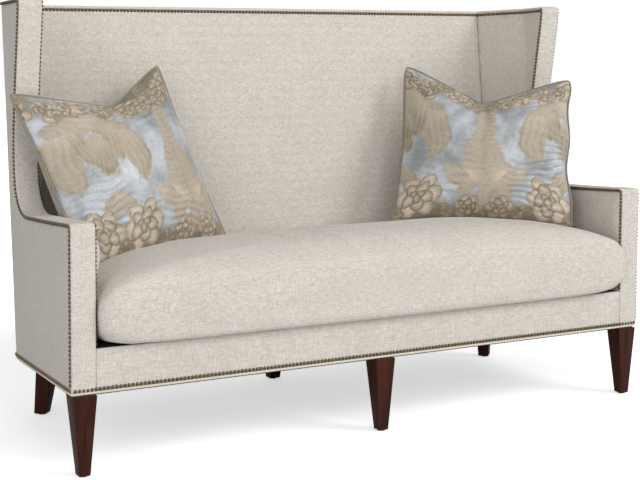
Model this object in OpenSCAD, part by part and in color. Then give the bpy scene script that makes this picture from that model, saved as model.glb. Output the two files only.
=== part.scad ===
/* [Overall] */

// Width over the outside of the two sides, mm.
overall_width = 1830; // [1600:1:2100]
// Depth of the body from the arm fronts to the back panel at the base, mm.
body_depth = 700; // [600:1:850]
// Height of the wing fronts above the floor, mm.
overall_height = 1205; // [1050:1:1350]
// Height of the leg tops above the floor, mm.
leg_top_z = 205; // [120:1:260]
// Thickness of the screw plates between legs and frame, mm.
plate_t = 3; // [2:0.5:5]
// Run of each canted rear corner along the side and the back, mm.
cant_run = 185; // [100:1:260]
// Run of the eased bend between a side and its canted corner, mm.
bend_run = 55; // [25:1:75]

/* [Side outline] */

// Height of the arm top at the front, mm.
arm_front_z = 643.5; // [560:0.5:720]
// Height of the arm top where the swoop starts, mm.
arm_rear_z = 622.5; // [540:0.5:700]
// Distance from the back panel to the start of the swoop, mm.
swoop_start_back = 352; // [300:1:420]
// Distance from the back panel to the deepest point of the wing edge, mm.
swoop_deep_back = 241.5; // [215:0.5:280]
// Height of the deepest point of the wing edge, mm.
swoop_deep_z = 792; // [700:1:880]
// Distance from the back panel to the top of the wing edge, mm.
wing_top_back = 292.5; // [255:0.5:330]
// Radius of the arm's front top corner and of the wing's top corner, mm.
corner_radius = 16; // [13:0.5:22]
// Thickness of the padded band round the arm front, arm top and wing edge, mm.
band_t = 10; // [6:0.5:16]

/* [Side layers] */

// Thickness of the outside panels with their cover, mm.
panel_t = 5; // [3:0.5:10]
// Thickness of the sawn frame boards, mm.
board_t = 28; // [20:1:36]
// Thickness of the padding inside the arms, mm.
pad_t = 29; // [15:1:45]
// Thickness of the fabric and its backing, mm.
cover_t = 3; // [2:0.5:5]

/* [Seat deck] */

// Height of the seat rails, mm.
rail_h = 95; // [70:1:130]
// Thickness of the zigzag spring wire, mm.
spring_wire = 4; // [3:0.5:5]
// Height of the spring clips above the rails, mm.
clip_h = 6; // [5:0.5:9]
// Thickness of the deck padding, mm.
deck_pad_t = 13; // [8:1:25]
// Pitch of the spring zigzag, mm.
spring_pitch = 44; // [36:1:60]
// Half of the width of a spring, mm.
spring_half = 22; // [18:1:30]

/* [Back] */

// Thickness of the whole back, mm.
back_depth = 125; // [105:1:150]
// Distance that each wing leans in towards the back, mm.
wing_flare = 65; // [30:1:90]
// Depth of the slanting part of the inside wings, mm.
flare_depth = 175; // [120:1:200]
// Thickness of the webbing, mm.
web_t = 2; // [1:0.5:3]
// Thickness of the padded outside back panel, mm.
back_panel_t = 12; // [5:0.5:20]
// Height of the top rail of the back, mm.
top_rail_h = 60; // [40:1:90]

/* [Legs] */

// Side of the square front leg at the top, mm.
leg_top_w = 62; // [45:1:80]
// Side of the square front leg at the floor, mm.
leg_foot_w = 30; // [20:1:45]
// Side of the square rear foot at the floor, mm.
rear_foot_w = 35; // [24:1:48]
// Side of the square rear leg at the top, mm.
rear_top_w = 58; // [44:1:74]
// Height of the floor glides, mm.
glide_h = 3; // [2:0.5:6]
// Radius of the floor glides, mm.
glide_r = 11; // [8:0.5:14]
// Radius of the leg bolts, mm.
bolt_r = 4; // [3:0.5:6]
// Clearance round the leg bolts, mm.
bolt_gap = 0.3; // [0.1:0.05:0.6]

/* [Trim] */

// Width of a row of nail heads, mm.
nail_w = 9.6; // [7:0.1:13]
// Height of the nail heads over the cover, mm.
nail_t = 2.5; // [1.5:0.1:4]
// Distance from the outline to the centre of the outer nail rows, mm.
nail_inset = 5.5; // [5:0.1:12]
// Radius of the welt round the base, mm.
welt_r = 3.25; // [2:0.05:5]
// Distance that the welt stands proud of the covers, mm.
welt_proud = 1.6; // [0.5:0.1:3]

/* [Loose cushions] */

// Clearance between a loose cushion and the cover next to it, mm.
loose_gap = 3.5; // [3:0.5:6]
// Distance that the cushion nose stands in front of the arms, mm.
nose_y = 40; // [10:1:60]
// Height of the cushion's front edge above the floor, mm.
cushion_edge_z = 505; // [440:1:560]
// Rise of the cushion's crown over its edges, mm.
cushion_crown = 60; // [20:1:90]
// Half of the thickness of a throw pillow in its middle, mm.
pillow_half_t = 84; // [50:1:110]
// Radius of the throw pillow welt, mm.
pillow_welt_r = 4; // [3:0.1:6]

/* [Hidden] */

// Backward lean of the back, as run over rise.
rake_share = 0.1175;
// Angle of that lean, degrees.
rake = atan(rake_share);
// Fall of the top from the wing fronts to the back, as run over rise.
fall_share = 0.05;
// Share of a corner's cut-back for an offset of a 45 degree corner.
corner_share = tan(22.5);
// Diagonal of a unit square.
diagonal_share = sqrt(2);
// Small clearance that keeps soft pieces off their neighbours, mm.
soft_gap = 0.3;
// Facets of small round pieces.
round_facets = 24;
// Steps along each curve of the outline.
curve_steps = 10;
// Steps round a small corner.
corner_steps = 4;

// Underside of the frame.
frame_z = leg_top_z + plate_t;
// Top of the seat rails.
rail_top_z = frame_z + rail_h;
// Top of the spring clips and underside of the soft pieces.
soft_z = rail_top_z + clip_h;
// Underside of the deck cover.
deck_cover_z = soft_z + deck_pad_t;
// Top of the deck cover.
deck_z = deck_cover_z + cover_t;

// Half of the overall width.
half_w = overall_width / 2;
// Outer face of the frame boards.
board_out = half_w - panel_t;
// Inner face of the frame boards.
board_in = board_out - board_t;
// Inner face of the inside padding.
pad_in = board_in - pad_t;
// Inner face of the inside covers.
arm_in = pad_in - cover_t;

// Run of the lean from the base to the top.
lean_run = (overall_height - leg_top_z) * rake_share;
// Front face of the arms, set so that the whole is centred.
front_y = nose_y - (nose_y + body_depth + lean_run) / 2;
// Back face of the body at the base.
back_y = front_y + body_depth;

// Half of the width of the flat back between the canted corners.
flat_half_w = half_w - cant_run;
// Start of the swoop, from the arm fronts.
swoop_start_y = body_depth - swoop_start_back;
// Deepest point of the wing edge, from the arm fronts.
swoop_deep_y = body_depth - swoop_deep_back;
// Top of the wing edge, from the arm fronts.
wing_top_y = body_depth - wing_top_back;
// Inside back cover at the base, from the arm fronts.
back_face_y = body_depth - back_depth;
// Start of the slanting inside wings, from the arm fronts.
inner_corner_y = back_face_y - flare_depth;
// Half of the width of the inside back between the wings.
back_half_w = arm_in - wing_flare;
// Plan line of the side where the cant starts.
cant_y = body_depth - cant_run;
// Plan line of the side where the eased bend starts.
bend_y = cant_y - bend_run;
// Sum of twice the width and the depth along the bend's plan line.
bend_sum = 2 * half_w + bend_y;
// The same under the bend's cover, where the frame ends.
bend_in_sum = bend_sum - panel_t * sqrt(5);
// Turn of the bend's plan line from the side.
bend_turn = atan(1 / 2);
// Outer plan line of the corner posts.
post_out_sum = board_out + cant_y - welt_r;
// Plan line where the inner face of the corner posts meets the side boards.
post_sum = post_out_sum - board_t * diagonal_share;
// Plan line of the back rails' rear face.
rail_rear_y = body_depth - back_panel_t;
// Plan line of the back rails' front face.
rail_front_y = rail_rear_y - board_t;
// Half of the length of the back rails.
rail_half_w = post_out_sum - rail_rear_y;
// Plan line of the webbing's front face.
web_y = rail_front_y - web_t;
// Plan line of the padding side of the inside back cover.
foam_y = back_face_y + cover_t;
// Angle of the inside cover's slanting wall.
wall_turn = atan((arm_in - back_half_w) / (back_face_y - inner_corner_y));
// Half of the width of the back foam at the cover.
foam_half_w = back_half_w + cover_t / cos(wall_turn);
// Shift of the cover's outer corner that keeps its thickness.
cover_turn = cover_t * tan(wall_turn / 2);
// Length far outside the object, for trimming.
far = overall_width;

// Thickness of the padded front rail cover, flush with the bands.
front_cover_t = band_t;
// Clearance between boards, pads and bands that are stapled together.
fit_gap = 0.1;
// Named share of a radius for the outline's bezier handles.
handle_share = 0.55;
// Fall of the band's thickness measured along the vertical.
band_drop = band_t * sqrt(1 + fall_share * fall_share);
// Drop of what lies under the top band.
under_band = band_drop + fit_gap;

// Extra height of the front post under the arm rail.
arm_rail_h = 34;
// Depth of the front posts.
post_depth = 60;
// Distance from the back panel to the wing board's foot.
wing_foot_back = 270;
// Wing board's foot, from the arm fronts.
wing_foot_y = body_depth - wing_foot_back;
// Length of the front band on the wing's top.
band_return = 34;
// End of the front band on the wing's top.
band_end_y = wing_top_y + band_return;
// Easing of a rounded corner's ends.
ease = 1;
// Pull of the swoop along the arm.
swoop_pull = 96;
// Pull of the swoop down the wing.
swoop_rise = 97;
// Pull of the wing edge above its deepest point.
wing_rise = 108;
// Pull of the wing edge below its top.
wing_fall = 125;
// Sideways shift of the upper pull.
wing_shift = 12;

// Point on the plan carried up the lean, as a distance from the arm fronts.
function lean_y(plan_y, z) =
    body_depth + (plan_y - body_depth) / cos(rake) + (z - leg_top_z) * tan(rake);
// Height of the sloping top at a distance from the arm fronts.
function top_z(y) = overall_height - fall_share * (y - wing_top_y);
// Point where a leaned plan line meets the top less a drop, in depth and height.
function top_end(plan_y, drop) =
    let (y0 = lean_y(plan_y, leg_top_z))
    let (z = (overall_height - drop - fall_share * (y0 - leg_top_z * rake_share - wing_top_y))
        / (1 + fall_share * rake_share))
    [lean_y(plan_y, z), z];
// Point on a cubic bezier.
function bez(a, b, c, d, t) =
    a * pow(1 - t, 3) + b * 3 * t * pow(1 - t, 2) + c * 3 * t * t * (1 - t) + d * pow(t, 3);
// Points of a cubic bezier without its first point.
function bez_path(a, b, c, d, n) = [for (i = [1:n]) bez(a, b, c, d, i / n)];
// Length of a plane vector.
function size2(v) = sqrt(v[0] * v[0] + v[1] * v[1]);
// Unit vector that points left of a plane vector.
function left_of(v) = [-v[1], v[0]] / size2(v);
// Plane vector turned a quarter to its left.
function mean_left(a, b) = let (m = left_of(a) + left_of(b)) m / (m * m) * 2;

// Start of the swoop on the arm top.
swoop_start = [swoop_start_y, arm_rear_z];
// Deepest point of the wing edge.
swoop_deep = [swoop_deep_y, swoop_deep_z];
// First handle of the swoop.
swoop_handle_a = [swoop_start_y + swoop_pull, arm_rear_z - ease];
// Second handle of the swoop.
swoop_handle_b = [swoop_deep_y, swoop_deep_z - swoop_rise];
// First handle of the wing edge.
wing_handle_a = [swoop_deep_y + ease * 2, swoop_deep_z + wing_rise];
// Second handle of the wing edge.
wing_handle_b = [wing_top_y + wing_shift, overall_height - wing_fall];
// Point where the wing edge meets its top corner.
wing_top = [wing_top_y + ease, overall_height - corner_radius];
// Point where the wing's top corner meets the sloping top.
wing_corner = [wing_top_y + corner_radius + ease, top_z(wing_top_y + corner_radius + ease)];

// Outline of the side from the arm front over the arm, the swoop and the wing to the top.
outline = concat(
    [[0, frame_z], [0, arm_front_z - corner_radius]],
    bez_path([0, arm_front_z - corner_radius],
        [0, arm_front_z - corner_radius * (1 - handle_share)],
        [corner_radius * (1 - handle_share), arm_front_z],
        [corner_radius, arm_front_z - ease], corner_steps),
    [[swoop_start_y / 2, (arm_front_z + arm_rear_z) / 2 - ease]],
    [swoop_start],
    bez_path(swoop_start, swoop_handle_a, swoop_handle_b, swoop_deep, curve_steps),
    bez_path(swoop_deep, wing_handle_a, wing_handle_b, wing_top, curve_steps),
    bez_path(wing_top,
        wing_top + [0, corner_radius * handle_share],
        wing_corner - [corner_radius * handle_share, -corner_radius * handle_share * fall_share],
        wing_corner, corner_steps),
    [[band_end_y, top_z(band_end_y)]]
);
// Number of the outline's last point.
outline_last_index = len(outline) - 1;

// The outline moved into the side by d, with its first point at height z0 and its last clear of the top band.
function inset(d, z0) = [for (i = [0:outline_last_index])
    i == 0 ? [d, z0] :
    i == outline_last_index ? [outline[i][0],
        outline[i][1] - d * sqrt(1 + fall_share * fall_share) - fit_gap] :
    outline[i] - mean_left(outline[i] - outline[i - 1], outline[i + 1] - outline[i]) * d];
// The same moved to its place in depth.
function placed(p) = [for (q = p) [q[0] + front_y, q[1]]];
// A list in reverse.
function reversed(p) = [for (i = [len(p) - 1:-1:0]) p[i]];

// Name of the piece to make, or all.

// Helpers

// A plate across the side, from its own depth and height points, x0 to x0 + t.
module side_plate(x0, t, points) {
    translate([x0, 0, 0])
        rotate([90, 0, 90])
            linear_extrude(height = t)
                polygon(points);
}

// Children carried to the lean of the back.
module leaned() {
    translate([0, back_y, leg_top_z])
        rotate([-rake, 0, 0])
            translate([0, -back_y, -leg_top_z])
                children();
}

// A leaned column from plan points given from the arm fronts.
module column(points) {
    leaned()
        translate([0, front_y, 0])
            linear_extrude(height = far)
                polygon(points);
}

// Space between a level and the sloping top less a drop, behind a depth.
module space(y0, z0, drop) {
    side_plate(-far, far * 2, [
        [front_y + y0, z0],
        [front_y + body_depth * 2, z0],
        [front_y + body_depth * 2, top_z(body_depth * 2) - drop],
        [front_y + y0, top_z(y0) - drop]
    ]);
}

// Space between two levels.
module slab(z0, z1) {
    translate([-far, -far, z0])
        cube([far * 2, far * 2, z1 - z0]);
}

// A square board or block between two corners.
module block(a, b) {
    translate([a[0], front_y + a[1], a[2]])
        cube([b[0] - a[0], b[1] - a[1], b[2] - a[2]]);
}

// Children and their mirror image.
module both() {
    children();
    mirror([1, 0, 0])
        children();
}

// Plan of the room inside the covers, from far in front to the inside back.
function room(x_side, y_corner, x_back, y_back) = [
    [-x_side, -body_depth], [x_side, -body_depth], [x_side, y_corner],
    [x_back, y_back], [-x_back, y_back], [-x_side, y_corner]
];

// Children cut off under the eased bend of the right side, or of both sides.
module eased(gap) {
    intersection() {
        children();
        column([
            [-half_w, -body_depth], [half_w, -body_depth],
            [half_w, bend_in_sum - gap - 2 * half_w],
            [(bend_in_sum - gap - body_depth) / 2, body_depth],
            [-(bend_in_sum - gap - body_depth) / 2, body_depth],
            [-half_w, bend_in_sum - gap - 2 * half_w]
        ]);
    }
}

// Frame

// Distance of the front bolts from the sides and from the arm fronts.
front_bolt_in = 22;
front_bolt_y = 31;
// Distance of the rear bolts from the sides and from the back panel.
rear_bolt_in = 153;
rear_bolt_back = 103;
// Places of the bolts, from the arm fronts.
front_bolt = [half_w - front_bolt_in, front_bolt_y];
middle_front_bolt = [0, front_cover_t + board_t / 2];
middle_rear_bolt = [0, rail_front_y + board_t / 2];
rear_bolt = [half_w - rear_bolt_in, body_depth - rear_bolt_back];
// Height of the bolts into the frame.
bolt_up = 30;
// Depth of the bolts into the legs.
bolt_down = 36;

// Holes for the bolts, wider than them by a clearance.
module bolt_holes(gap) {
    for (p = [front_bolt, [-front_bolt[0], front_bolt[1]], middle_front_bolt,
            middle_rear_bolt, rear_bolt, [-rear_bolt[0], rear_bolt[1]]])
        translate([p[0], front_y + p[1], leg_top_z - bolt_down - gap])
            cylinder(h = bolt_down + plate_t + bolt_up + gap * 2, r = bolt_r + gap,
                $fn = round_facets);
}

module front_seat_rail() {
    color("tan")
        difference() {
            block([-board_in, front_cover_t, frame_z],
                [board_in, front_cover_t + board_t, rail_top_z]);
            bolt_holes(bolt_gap);
        }
}

module back_seat_rail() {
    color("tan")
        difference() {
            intersection() {
                column([[-rail_half_w, rail_front_y], [rail_half_w, rail_front_y],
                    [rail_half_w, rail_rear_y], [-rail_half_w, rail_rear_y]]);
                slab(frame_z, rail_top_z);
            }
            bolt_holes(bolt_gap);
        }
}

// Plan line of the far end of the side boards.
board_end_y = post_out_sum - board_out;
// Depth where the side boards meet the corner posts, at a height.
function side_end(z) = front_y + lean_y(board_end_y, z);

module side_rail() {
    eased(fit_gap)
        side_plate(board_in, board_t, [
            [front_y + band_t + post_depth, frame_z],
            [side_end(frame_z), frame_z],
            [side_end(rail_top_z), rail_top_z],
            [front_y + band_t + post_depth, rail_top_z]
        ]);
}

module right_seat_rail() {
    color("tan")
        side_rail();
}

module left_seat_rail() {
    color("tan")
        mirror([1, 0, 0])
            side_rail();
}

// Distance of a stretcher from the middle, as a share of the back rail's half length.
stretcher_share = 0.408;
stretcher_x = rail_half_w * stretcher_share;
// Height of a stretcher.
stretcher_h = 67;

module seat_stretchers() {
    color("tan")
        both()
            side_plate(stretcher_x, board_t, [
                [front_y + front_cover_t + board_t, frame_z],
                [front_y + lean_y(rail_front_y, frame_z), frame_z],
                [front_y + lean_y(rail_front_y, frame_z + stretcher_h), frame_z + stretcher_h],
                [front_y + front_cover_t + board_t, frame_z + stretcher_h]
            ]);
}

// Leg of a front corner block along the rail.
block_run = 92;
// Height of a corner block.
block_h = 88;
// Inner corner of a rear block, from the rail's end and its front.
rear_block_run = 35;
rear_block_reach = 70;
rear_block_x = rail_half_w - rear_block_run;
rear_block_y = rail_front_y - rear_block_reach;

module corner_blocks() {
    color("burlywood")
        both() {
            translate([0, front_y, frame_z])
                linear_extrude(height = block_h)
                    polygon([
                        [board_in, front_cover_t + board_t],
                        [board_in, front_cover_t + board_t + block_run],
                        [board_in - block_run, front_cover_t + board_t]
                    ]);
            difference() {
                intersection() {
                    column([
                        [board_in, post_sum - board_in],
                        [post_sum - rail_front_y, rail_front_y],
                        [rear_block_x, rail_front_y],
                        [rear_block_x, rear_block_y],
                        [board_in - block_run, post_sum - board_in - plate_t],
                        [board_in, post_sum - board_in - plate_t]
                    ]);
                    slab(frame_z, frame_z + block_h);
                }
                bolt_holes(bolt_gap);
            }
        }
}

module front_posts() {
    color("tan")
        both()
            difference() {
                side_plate(board_in, board_t, [
                    [front_y + band_t, frame_z],
                    [front_y + band_t + post_depth, frame_z],
                    [front_y + band_t + post_depth, arm_rear_z - band_t - arm_rail_h],
                    [front_y + band_t, arm_rear_z - band_t - arm_rail_h]
                ]);
                bolt_holes(bolt_gap);
            }
}

// Points of the inset outline that lie on the arm, up to the swoop.
arm_points = [for (p = inset(band_t, frame_z))
    if (p[0] <= swoop_start_y + soft_gap && p[1] > (leg_top_z + arm_rear_z) / 2) p];
// Points of the inset outline that lie on the swoop, the wing and its top corner.
wing_points = [for (p = inset(band_t, frame_z))
    if (p[0] > swoop_start_y - soft_gap && p[1] < top_z(p[0])) p];
// Height of the inset outline at the start of the swoop.
arm_under_z = arm_rear_z - band_t - arm_rail_h;
// Start of the swoop on the inset outline.
inner_start = arm_points[len(arm_points) - 1];

module arm_rails() {
    color("tan")
        both()
            side_plate(board_in, board_t, placed(concat(
                [[band_t, arm_under_z]],
                arm_points,
                [[inner_start[0], arm_under_z]]
            )));
}

module wing_board() {
    eased(fit_gap)
        side_plate(board_in, board_t, placed(concat(
            [[wing_foot_y, rail_top_z], [wing_foot_y, arm_under_z], [inner_start[0], arm_under_z]],
            wing_points,
            [top_end(board_end_y - fit_gap, under_band),
            [lean_y(board_end_y - fit_gap, rail_top_z), rail_top_z]]
        )));
}

module right_wing_board() {
    color("tan")
        wing_board();
}

module left_wing_board() {
    color("tan")
        mirror([1, 0, 0])
            wing_board();
}

module corner_post() {
    intersection() {
        column([
            [bend_in_sum - fit_gap - post_out_sum, 2 * post_out_sum - bend_in_sum + fit_gap],
            [rail_half_w, rail_rear_y],
            [rail_half_w, post_sum - rail_half_w],
            [post_sum - board_end_y, board_end_y],
            [(bend_in_sum - fit_gap - board_end_y) / 2, board_end_y]
        ]);
        space(0, frame_z, under_band);
    }
}

module right_corner_post() {
    color("tan")
        corner_post();
}

module left_corner_post() {
    color("tan")
        mirror([1, 0, 0])
            corner_post();
}

module back_top_rail() {
    color("tan")
        difference() {
            intersection() {
                column([[-rail_half_w, rail_front_y], [rail_half_w, rail_front_y],
                    [rail_half_w, rail_rear_y], [-rail_half_w, rail_rear_y]]);
                space(0, overall_height / 2, under_band);
            }
            space(-body_depth, -far, under_band + top_rail_h);
        }
}

// Levels of the tack rail.
tack_rise = 80;
tack_z = rail_top_z + tack_rise;
tack_h = 50;

module back_tack_rail() {
    color("tan")
        intersection() {
            column([[-rail_half_w, rail_front_y], [rail_half_w, rail_front_y],
                [rail_half_w, rail_rear_y], [-rail_half_w, rail_rear_y]]);
            slab(tack_z, tack_z + tack_h);
        }
}

// Distance of an upright from the middle, as a share of the back rail's half length.
upright_share = 0.333;
upright_x = rail_half_w * upright_share;
// Width of an upright.
upright_w = 60;

module back_uprights() {
    color("tan")
        both()
            intersection() {
                column([[upright_x, rail_front_y], [upright_x + upright_w, rail_front_y],
                    [upright_x + upright_w, rail_rear_y], [upright_x, rail_rear_y]]);
                space(0, tack_z + tack_h, under_band + top_rail_h);
            }
}

// Seat

// Depth of the spring ends, from the arm fronts.
spring_front_y = front_cover_t + board_t / 2;
spring_rear_y = lean_y(rail_front_y, rail_top_z) + board_t / 2;
// Number of half turns of a spring.
spring_turn_count = 2 * floor((spring_rear_y - spring_front_y - spring_pitch) / spring_pitch);
// Length of the straight leads at a spring's ends.
spring_lead = (spring_rear_y - spring_front_y - spring_turn_count * spring_pitch / 2) / 2;
// Number of springs on each side of the middle one.
spring_side_count = 4;
// Distance between springs.
spring_spacing = back_half_w / (spring_side_count + 0.75);
// Centre line of a spring.
spring_line = concat(
    [[0, spring_front_y], [0, spring_front_y + spring_lead]],
    [for (i = [0:spring_turn_count - 1])
        for (k = [0, 1])
            [(i % 2 == 0 ? 1 : -1) * spring_half,
                spring_front_y + spring_lead + (i + 0.2 + k * 0.6) * spring_pitch / 2]],
    [[0, spring_rear_y - spring_lead], [0, spring_rear_y]]
);
// Ribbon of a given width round a centre line.
function ribbon_side(p, d) = [for (i = [0:len(p) - 1])
    i == 0 ? p[0] + left_of(p[1] - p[0]) * d :
    i == len(p) - 1 ? p[i] + left_of(p[i] - p[i - 1]) * d :
    p[i] + mean_left(p[i] - p[i - 1], p[i + 1] - p[i]) * d];
function ribbon(p, w) = concat(ribbon_side(p, w / 2), reversed(ribbon_side(p, -w / 2)));

module seat_springs() {
    color("silver")
        for (i = [-spring_side_count:spring_side_count])
            translate([i * spring_spacing, front_y, rail_top_z])
                linear_extrude(height = spring_wire)
                    polygon(ribbon(spring_line, spring_wire));
}

// Width and length of a spring clip.
clip_w = 16;
clip_l = 12;

module clip(x, y) {
    difference() {
        translate([x - clip_w / 2, y, rail_top_z])
            cube([clip_w, clip_l, clip_h]);
        translate([x - spring_wire / 2 - soft_gap, y - clip_l, rail_top_z - clip_h])
            cube([spring_wire + soft_gap * 2, clip_l * 3, clip_h + spring_wire + soft_gap]);
    }
}

module spring_clips() {
    color("dimgray")
        for (i = [-spring_side_count:spring_side_count]) {
            clip(i * spring_spacing, front_y + spring_front_y);
            clip(i * spring_spacing, front_y + spring_rear_y - clip_l);
        }
}

// Depth of the edge strip.
strip_d = 10;

module front_edge_strip() {
    color("burlywood")
        block([-arm_in, front_cover_t, rail_top_z],
            [arm_in, front_cover_t + strip_d, soft_z]);
}

// The deck's plan at the lean, cut square at the front rail cover.
module deck_sheet(z0, z1) {
    intersection() {
        column(room(arm_in, inner_corner_y, back_half_w, back_face_y));
        block([-far, front_cover_t, z0], [far, body_depth, z1]);
    }
}

module deck_pad() {
    color("gainsboro")
        deck_sheet(soft_z, deck_cover_z);
}

module deck_cover() {
    color("wheat")
        deck_sheet(deck_cover_z, deck_z);
}

// Level of the lower edge of the covers, on top of the welt.
cover_bottom_z = frame_z + band_t;

module front_rail_cover() {
    color("wheat")
        block([-arm_in, 0, cover_bottom_z], [arm_in, front_cover_t, deck_z]);
}

// Inside padding and covers

// Plan of the inside padding from the boards to the cover.
pad_plan = [
    [pad_in, -body_depth], [board_in - fit_gap, -body_depth],
    [board_in - fit_gap, post_sum - board_in], [foam_half_w, post_sum - foam_half_w - fit_gap],
    [foam_half_w, back_face_y], [pad_in, inner_corner_y + cover_turn]
];
// Plan of the inside cover.
cover_plan = [
    [arm_in, -body_depth], [pad_in, -body_depth],
    [pad_in, inner_corner_y + cover_turn], [foam_half_w, back_face_y],
    [back_half_w, back_face_y], [arm_in, inner_corner_y]
];
// Side region of the arm, under its band.
arm_region = placed(concat(
    [[band_t, soft_z]],
    arm_points,
    [[body_depth * 2, inner_start[1]], [body_depth * 2, soft_z]]
));
// Side region of the wing, behind its band.
wing_region = placed(concat(
    [inner_start],
    wing_points,
    [[body_depth * 2, top_z(body_depth * 2) - under_band],
    [body_depth * 2, inner_start[1]]]
));

module arm_pad() {
    intersection() {
        column(pad_plan);
        side_plate(0, far, arm_region);
    }
}

module right_arm_pad() {
    color("gainsboro")
        arm_pad();
}

module left_arm_pad() {
    color("gainsboro")
        mirror([1, 0, 0])
            arm_pad();
}

module wing_pad() {
    intersection() {
        column(pad_plan);
        side_plate(0, far, wing_region);
    }
}

module right_wing_pad() {
    color("gainsboro")
        wing_pad();
}

module left_wing_pad() {
    color("gainsboro")
        mirror([1, 0, 0])
            wing_pad();
}

module inside_arm_covers() {
    color("wheat")
        both()
            intersection() {
                column(cover_plan);
                side_plate(0, far, arm_region);
            }
}

module inside_wing_covers() {
    color("wheat")
        both()
            intersection() {
                column(cover_plan);
                side_plate(0, far, wing_region);
            }
}

// Width of a webbing strap.
strap_w = 55;
// Number of straps on each side of the middle one.
strap_side_count = 4;
// Spacing of the straps.
strap_spacing = rail_half_w / (strap_side_count + 1);

module back_webbing() {
    color("saddlebrown")
        for (i = [-strap_side_count:strap_side_count])
            intersection() {
                column([
                    [i * strap_spacing - strap_w / 2, web_y],
                    [i * strap_spacing + strap_w / 2, web_y],
                    [i * strap_spacing + strap_w / 2, rail_front_y],
                    [i * strap_spacing - strap_w / 2, rail_front_y]
                ]);
                space(0, tack_z + nail_w, under_band + nail_w);
            }
}

module back_foam() {
    color("gainsboro")
        intersection() {
            column([
                [-foam_half_w, foam_y], [foam_half_w, foam_y],
                [foam_half_w, post_sum - foam_half_w], [post_sum - web_y, web_y],
                [-(post_sum - web_y), web_y], [-foam_half_w, post_sum - foam_half_w]
            ]);
            space(0, soft_z, under_band);
        }
}

module inside_back_cover() {
    color("wheat")
        intersection() {
            column([
                [-foam_half_w, back_face_y], [foam_half_w, back_face_y],
                [foam_half_w, foam_y], [-foam_half_w, foam_y]
            ]);
            space(0, soft_z, under_band);
        }
}

// Outside covers

module outside_back_panel() {
    color("wheat")
        intersection() {
            column([
                [-rail_half_w, rail_rear_y], [rail_half_w, rail_rear_y],
                [flat_half_w, body_depth], [-flat_half_w, body_depth]
            ]);
            space(0, cover_bottom_z, under_band);
        }
}

module outside_panel() {
    side_plate(board_out, panel_t, placed(concat(
        [[band_t, cover_bottom_z]],
        arm_points,
        [for (i = [1:len(wing_points) - 1]) wing_points[i]],
        [top_end(bend_in_sum - 2 * board_out - fit_gap, under_band),
        [lean_y(bend_in_sum - 2 * board_out - fit_gap, cover_bottom_z), cover_bottom_z]]
    )));
}

module right_outside_panel() {
    color("wheat")
        outside_panel();
}

module left_outside_panel() {
    color("wheat")
        mirror([1, 0, 0])
            outside_panel();
}

module corner_panels() {
    color("wheat")
        both()
            intersection() {
                column([
                    [half_w, bend_y], [half_w - bend_run, cant_y + bend_run],
                    [flat_half_w, body_depth], [rail_half_w, rail_rear_y],
                    [bend_in_sum - post_out_sum, 2 * post_out_sum - bend_in_sum],
                    [board_out, bend_in_sum - 2 * board_out]
                ]);
                space(0, cover_bottom_z, under_band);
            }
}

module front_band() {
    side_plate(arm_in, half_w - arm_in,
        placed(concat(inset(0, cover_bottom_z), reversed(inset(band_t, cover_bottom_z)))));
}

module right_front_band() {
    color("wheat")
        front_band();
}

module left_front_band() {
    color("wheat")
        mirror([1, 0, 0])
            front_band();
}

module top_band() {
    color("wheat")
        intersection() {
            difference() {
                column([
                    [-half_w, -body_depth], [half_w, -body_depth], [half_w, bend_y],
                    [half_w - bend_run, cant_y + bend_run], [flat_half_w, body_depth],
                    [-flat_half_w, body_depth], [bend_run - half_w, cant_y + bend_run],
                    [-half_w, bend_y]
                ]);
                column(room(arm_in, inner_corner_y, back_half_w, back_face_y));
            }
            difference() {
                space(band_end_y, overall_height / 2, 0);
                space(-body_depth, -far, band_drop);
            }
        }
}

// Distance of the welt's centre inside the covers.
welt_in = welt_r - welt_proud;
// Height of the welt's centre.
welt_z = cover_bottom_z - welt_r;
// Shares of an offset across and along the depth where the bend meets the cant.
bend_x_share = cos((45 + bend_turn) / 2) / cos((45 - bend_turn) / 2);
bend_y_share = sin((45 + bend_turn) / 2) / cos((45 - bend_turn) / 2);
// Corners of the welt on one side, from the arm fronts.
welt_corners = [
    [half_w - welt_in, welt_in],
    [half_w - welt_in, lean_y(bend_y, welt_z) - welt_in * tan(bend_turn / 2)],
    [half_w - bend_run - welt_in * bend_x_share,
        lean_y(cant_y + bend_run, welt_z) - welt_in * bend_y_share],
    [flat_half_w - welt_in * corner_share, lean_y(body_depth, welt_z) - welt_in]
];
// All corners round the base.
welt_loop = concat(welt_corners, [for (p = reversed(welt_corners)) [-p[0], p[1]]]);
// Sides of the base welt's section.
base_welt_facets = 12;

// Points of a closed level tube with mitred corners.
function level_tube(p, z, r, sides) = [for (i = [0:len(p) - 1])
    let (n = len(p))
    let (out = -mean_left(p[i] - p[(i + n - 1) % n], p[(i + 1) % n] - p[i]))
    for (k = [0:sides - 1])
        let (a = 360 * (k + 0.5) / sides)
        [p[i][0] + out[0] * r * cos(a), p[i][1] + out[1] * r * cos(a), z + r * sin(a)]];
// Four-sided faces of a closed tube.
function tube_faces(rings, sides) = [for (i = [0:rings - 1]) for (k = [0:sides - 1])
    let (a = i * sides)
    let (b = ((i + 1) % rings) * sides)
    let (t = (k + 1) % sides)
    [a + k, a + t, b + t, b + k]];

module bottom_welt() {
    color("antiquewhite")
        translate([0, front_y, 0])
            polyhedron(
                points = level_tube(welt_loop, welt_z, welt_r, base_welt_facets),
                faces = tube_faces(len(welt_loop), base_welt_facets)
            );
}

// Thickness of the dust cover.
dust_t = 1.5;
// Room left round a leg plate.
dust_gap = 3;

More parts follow.
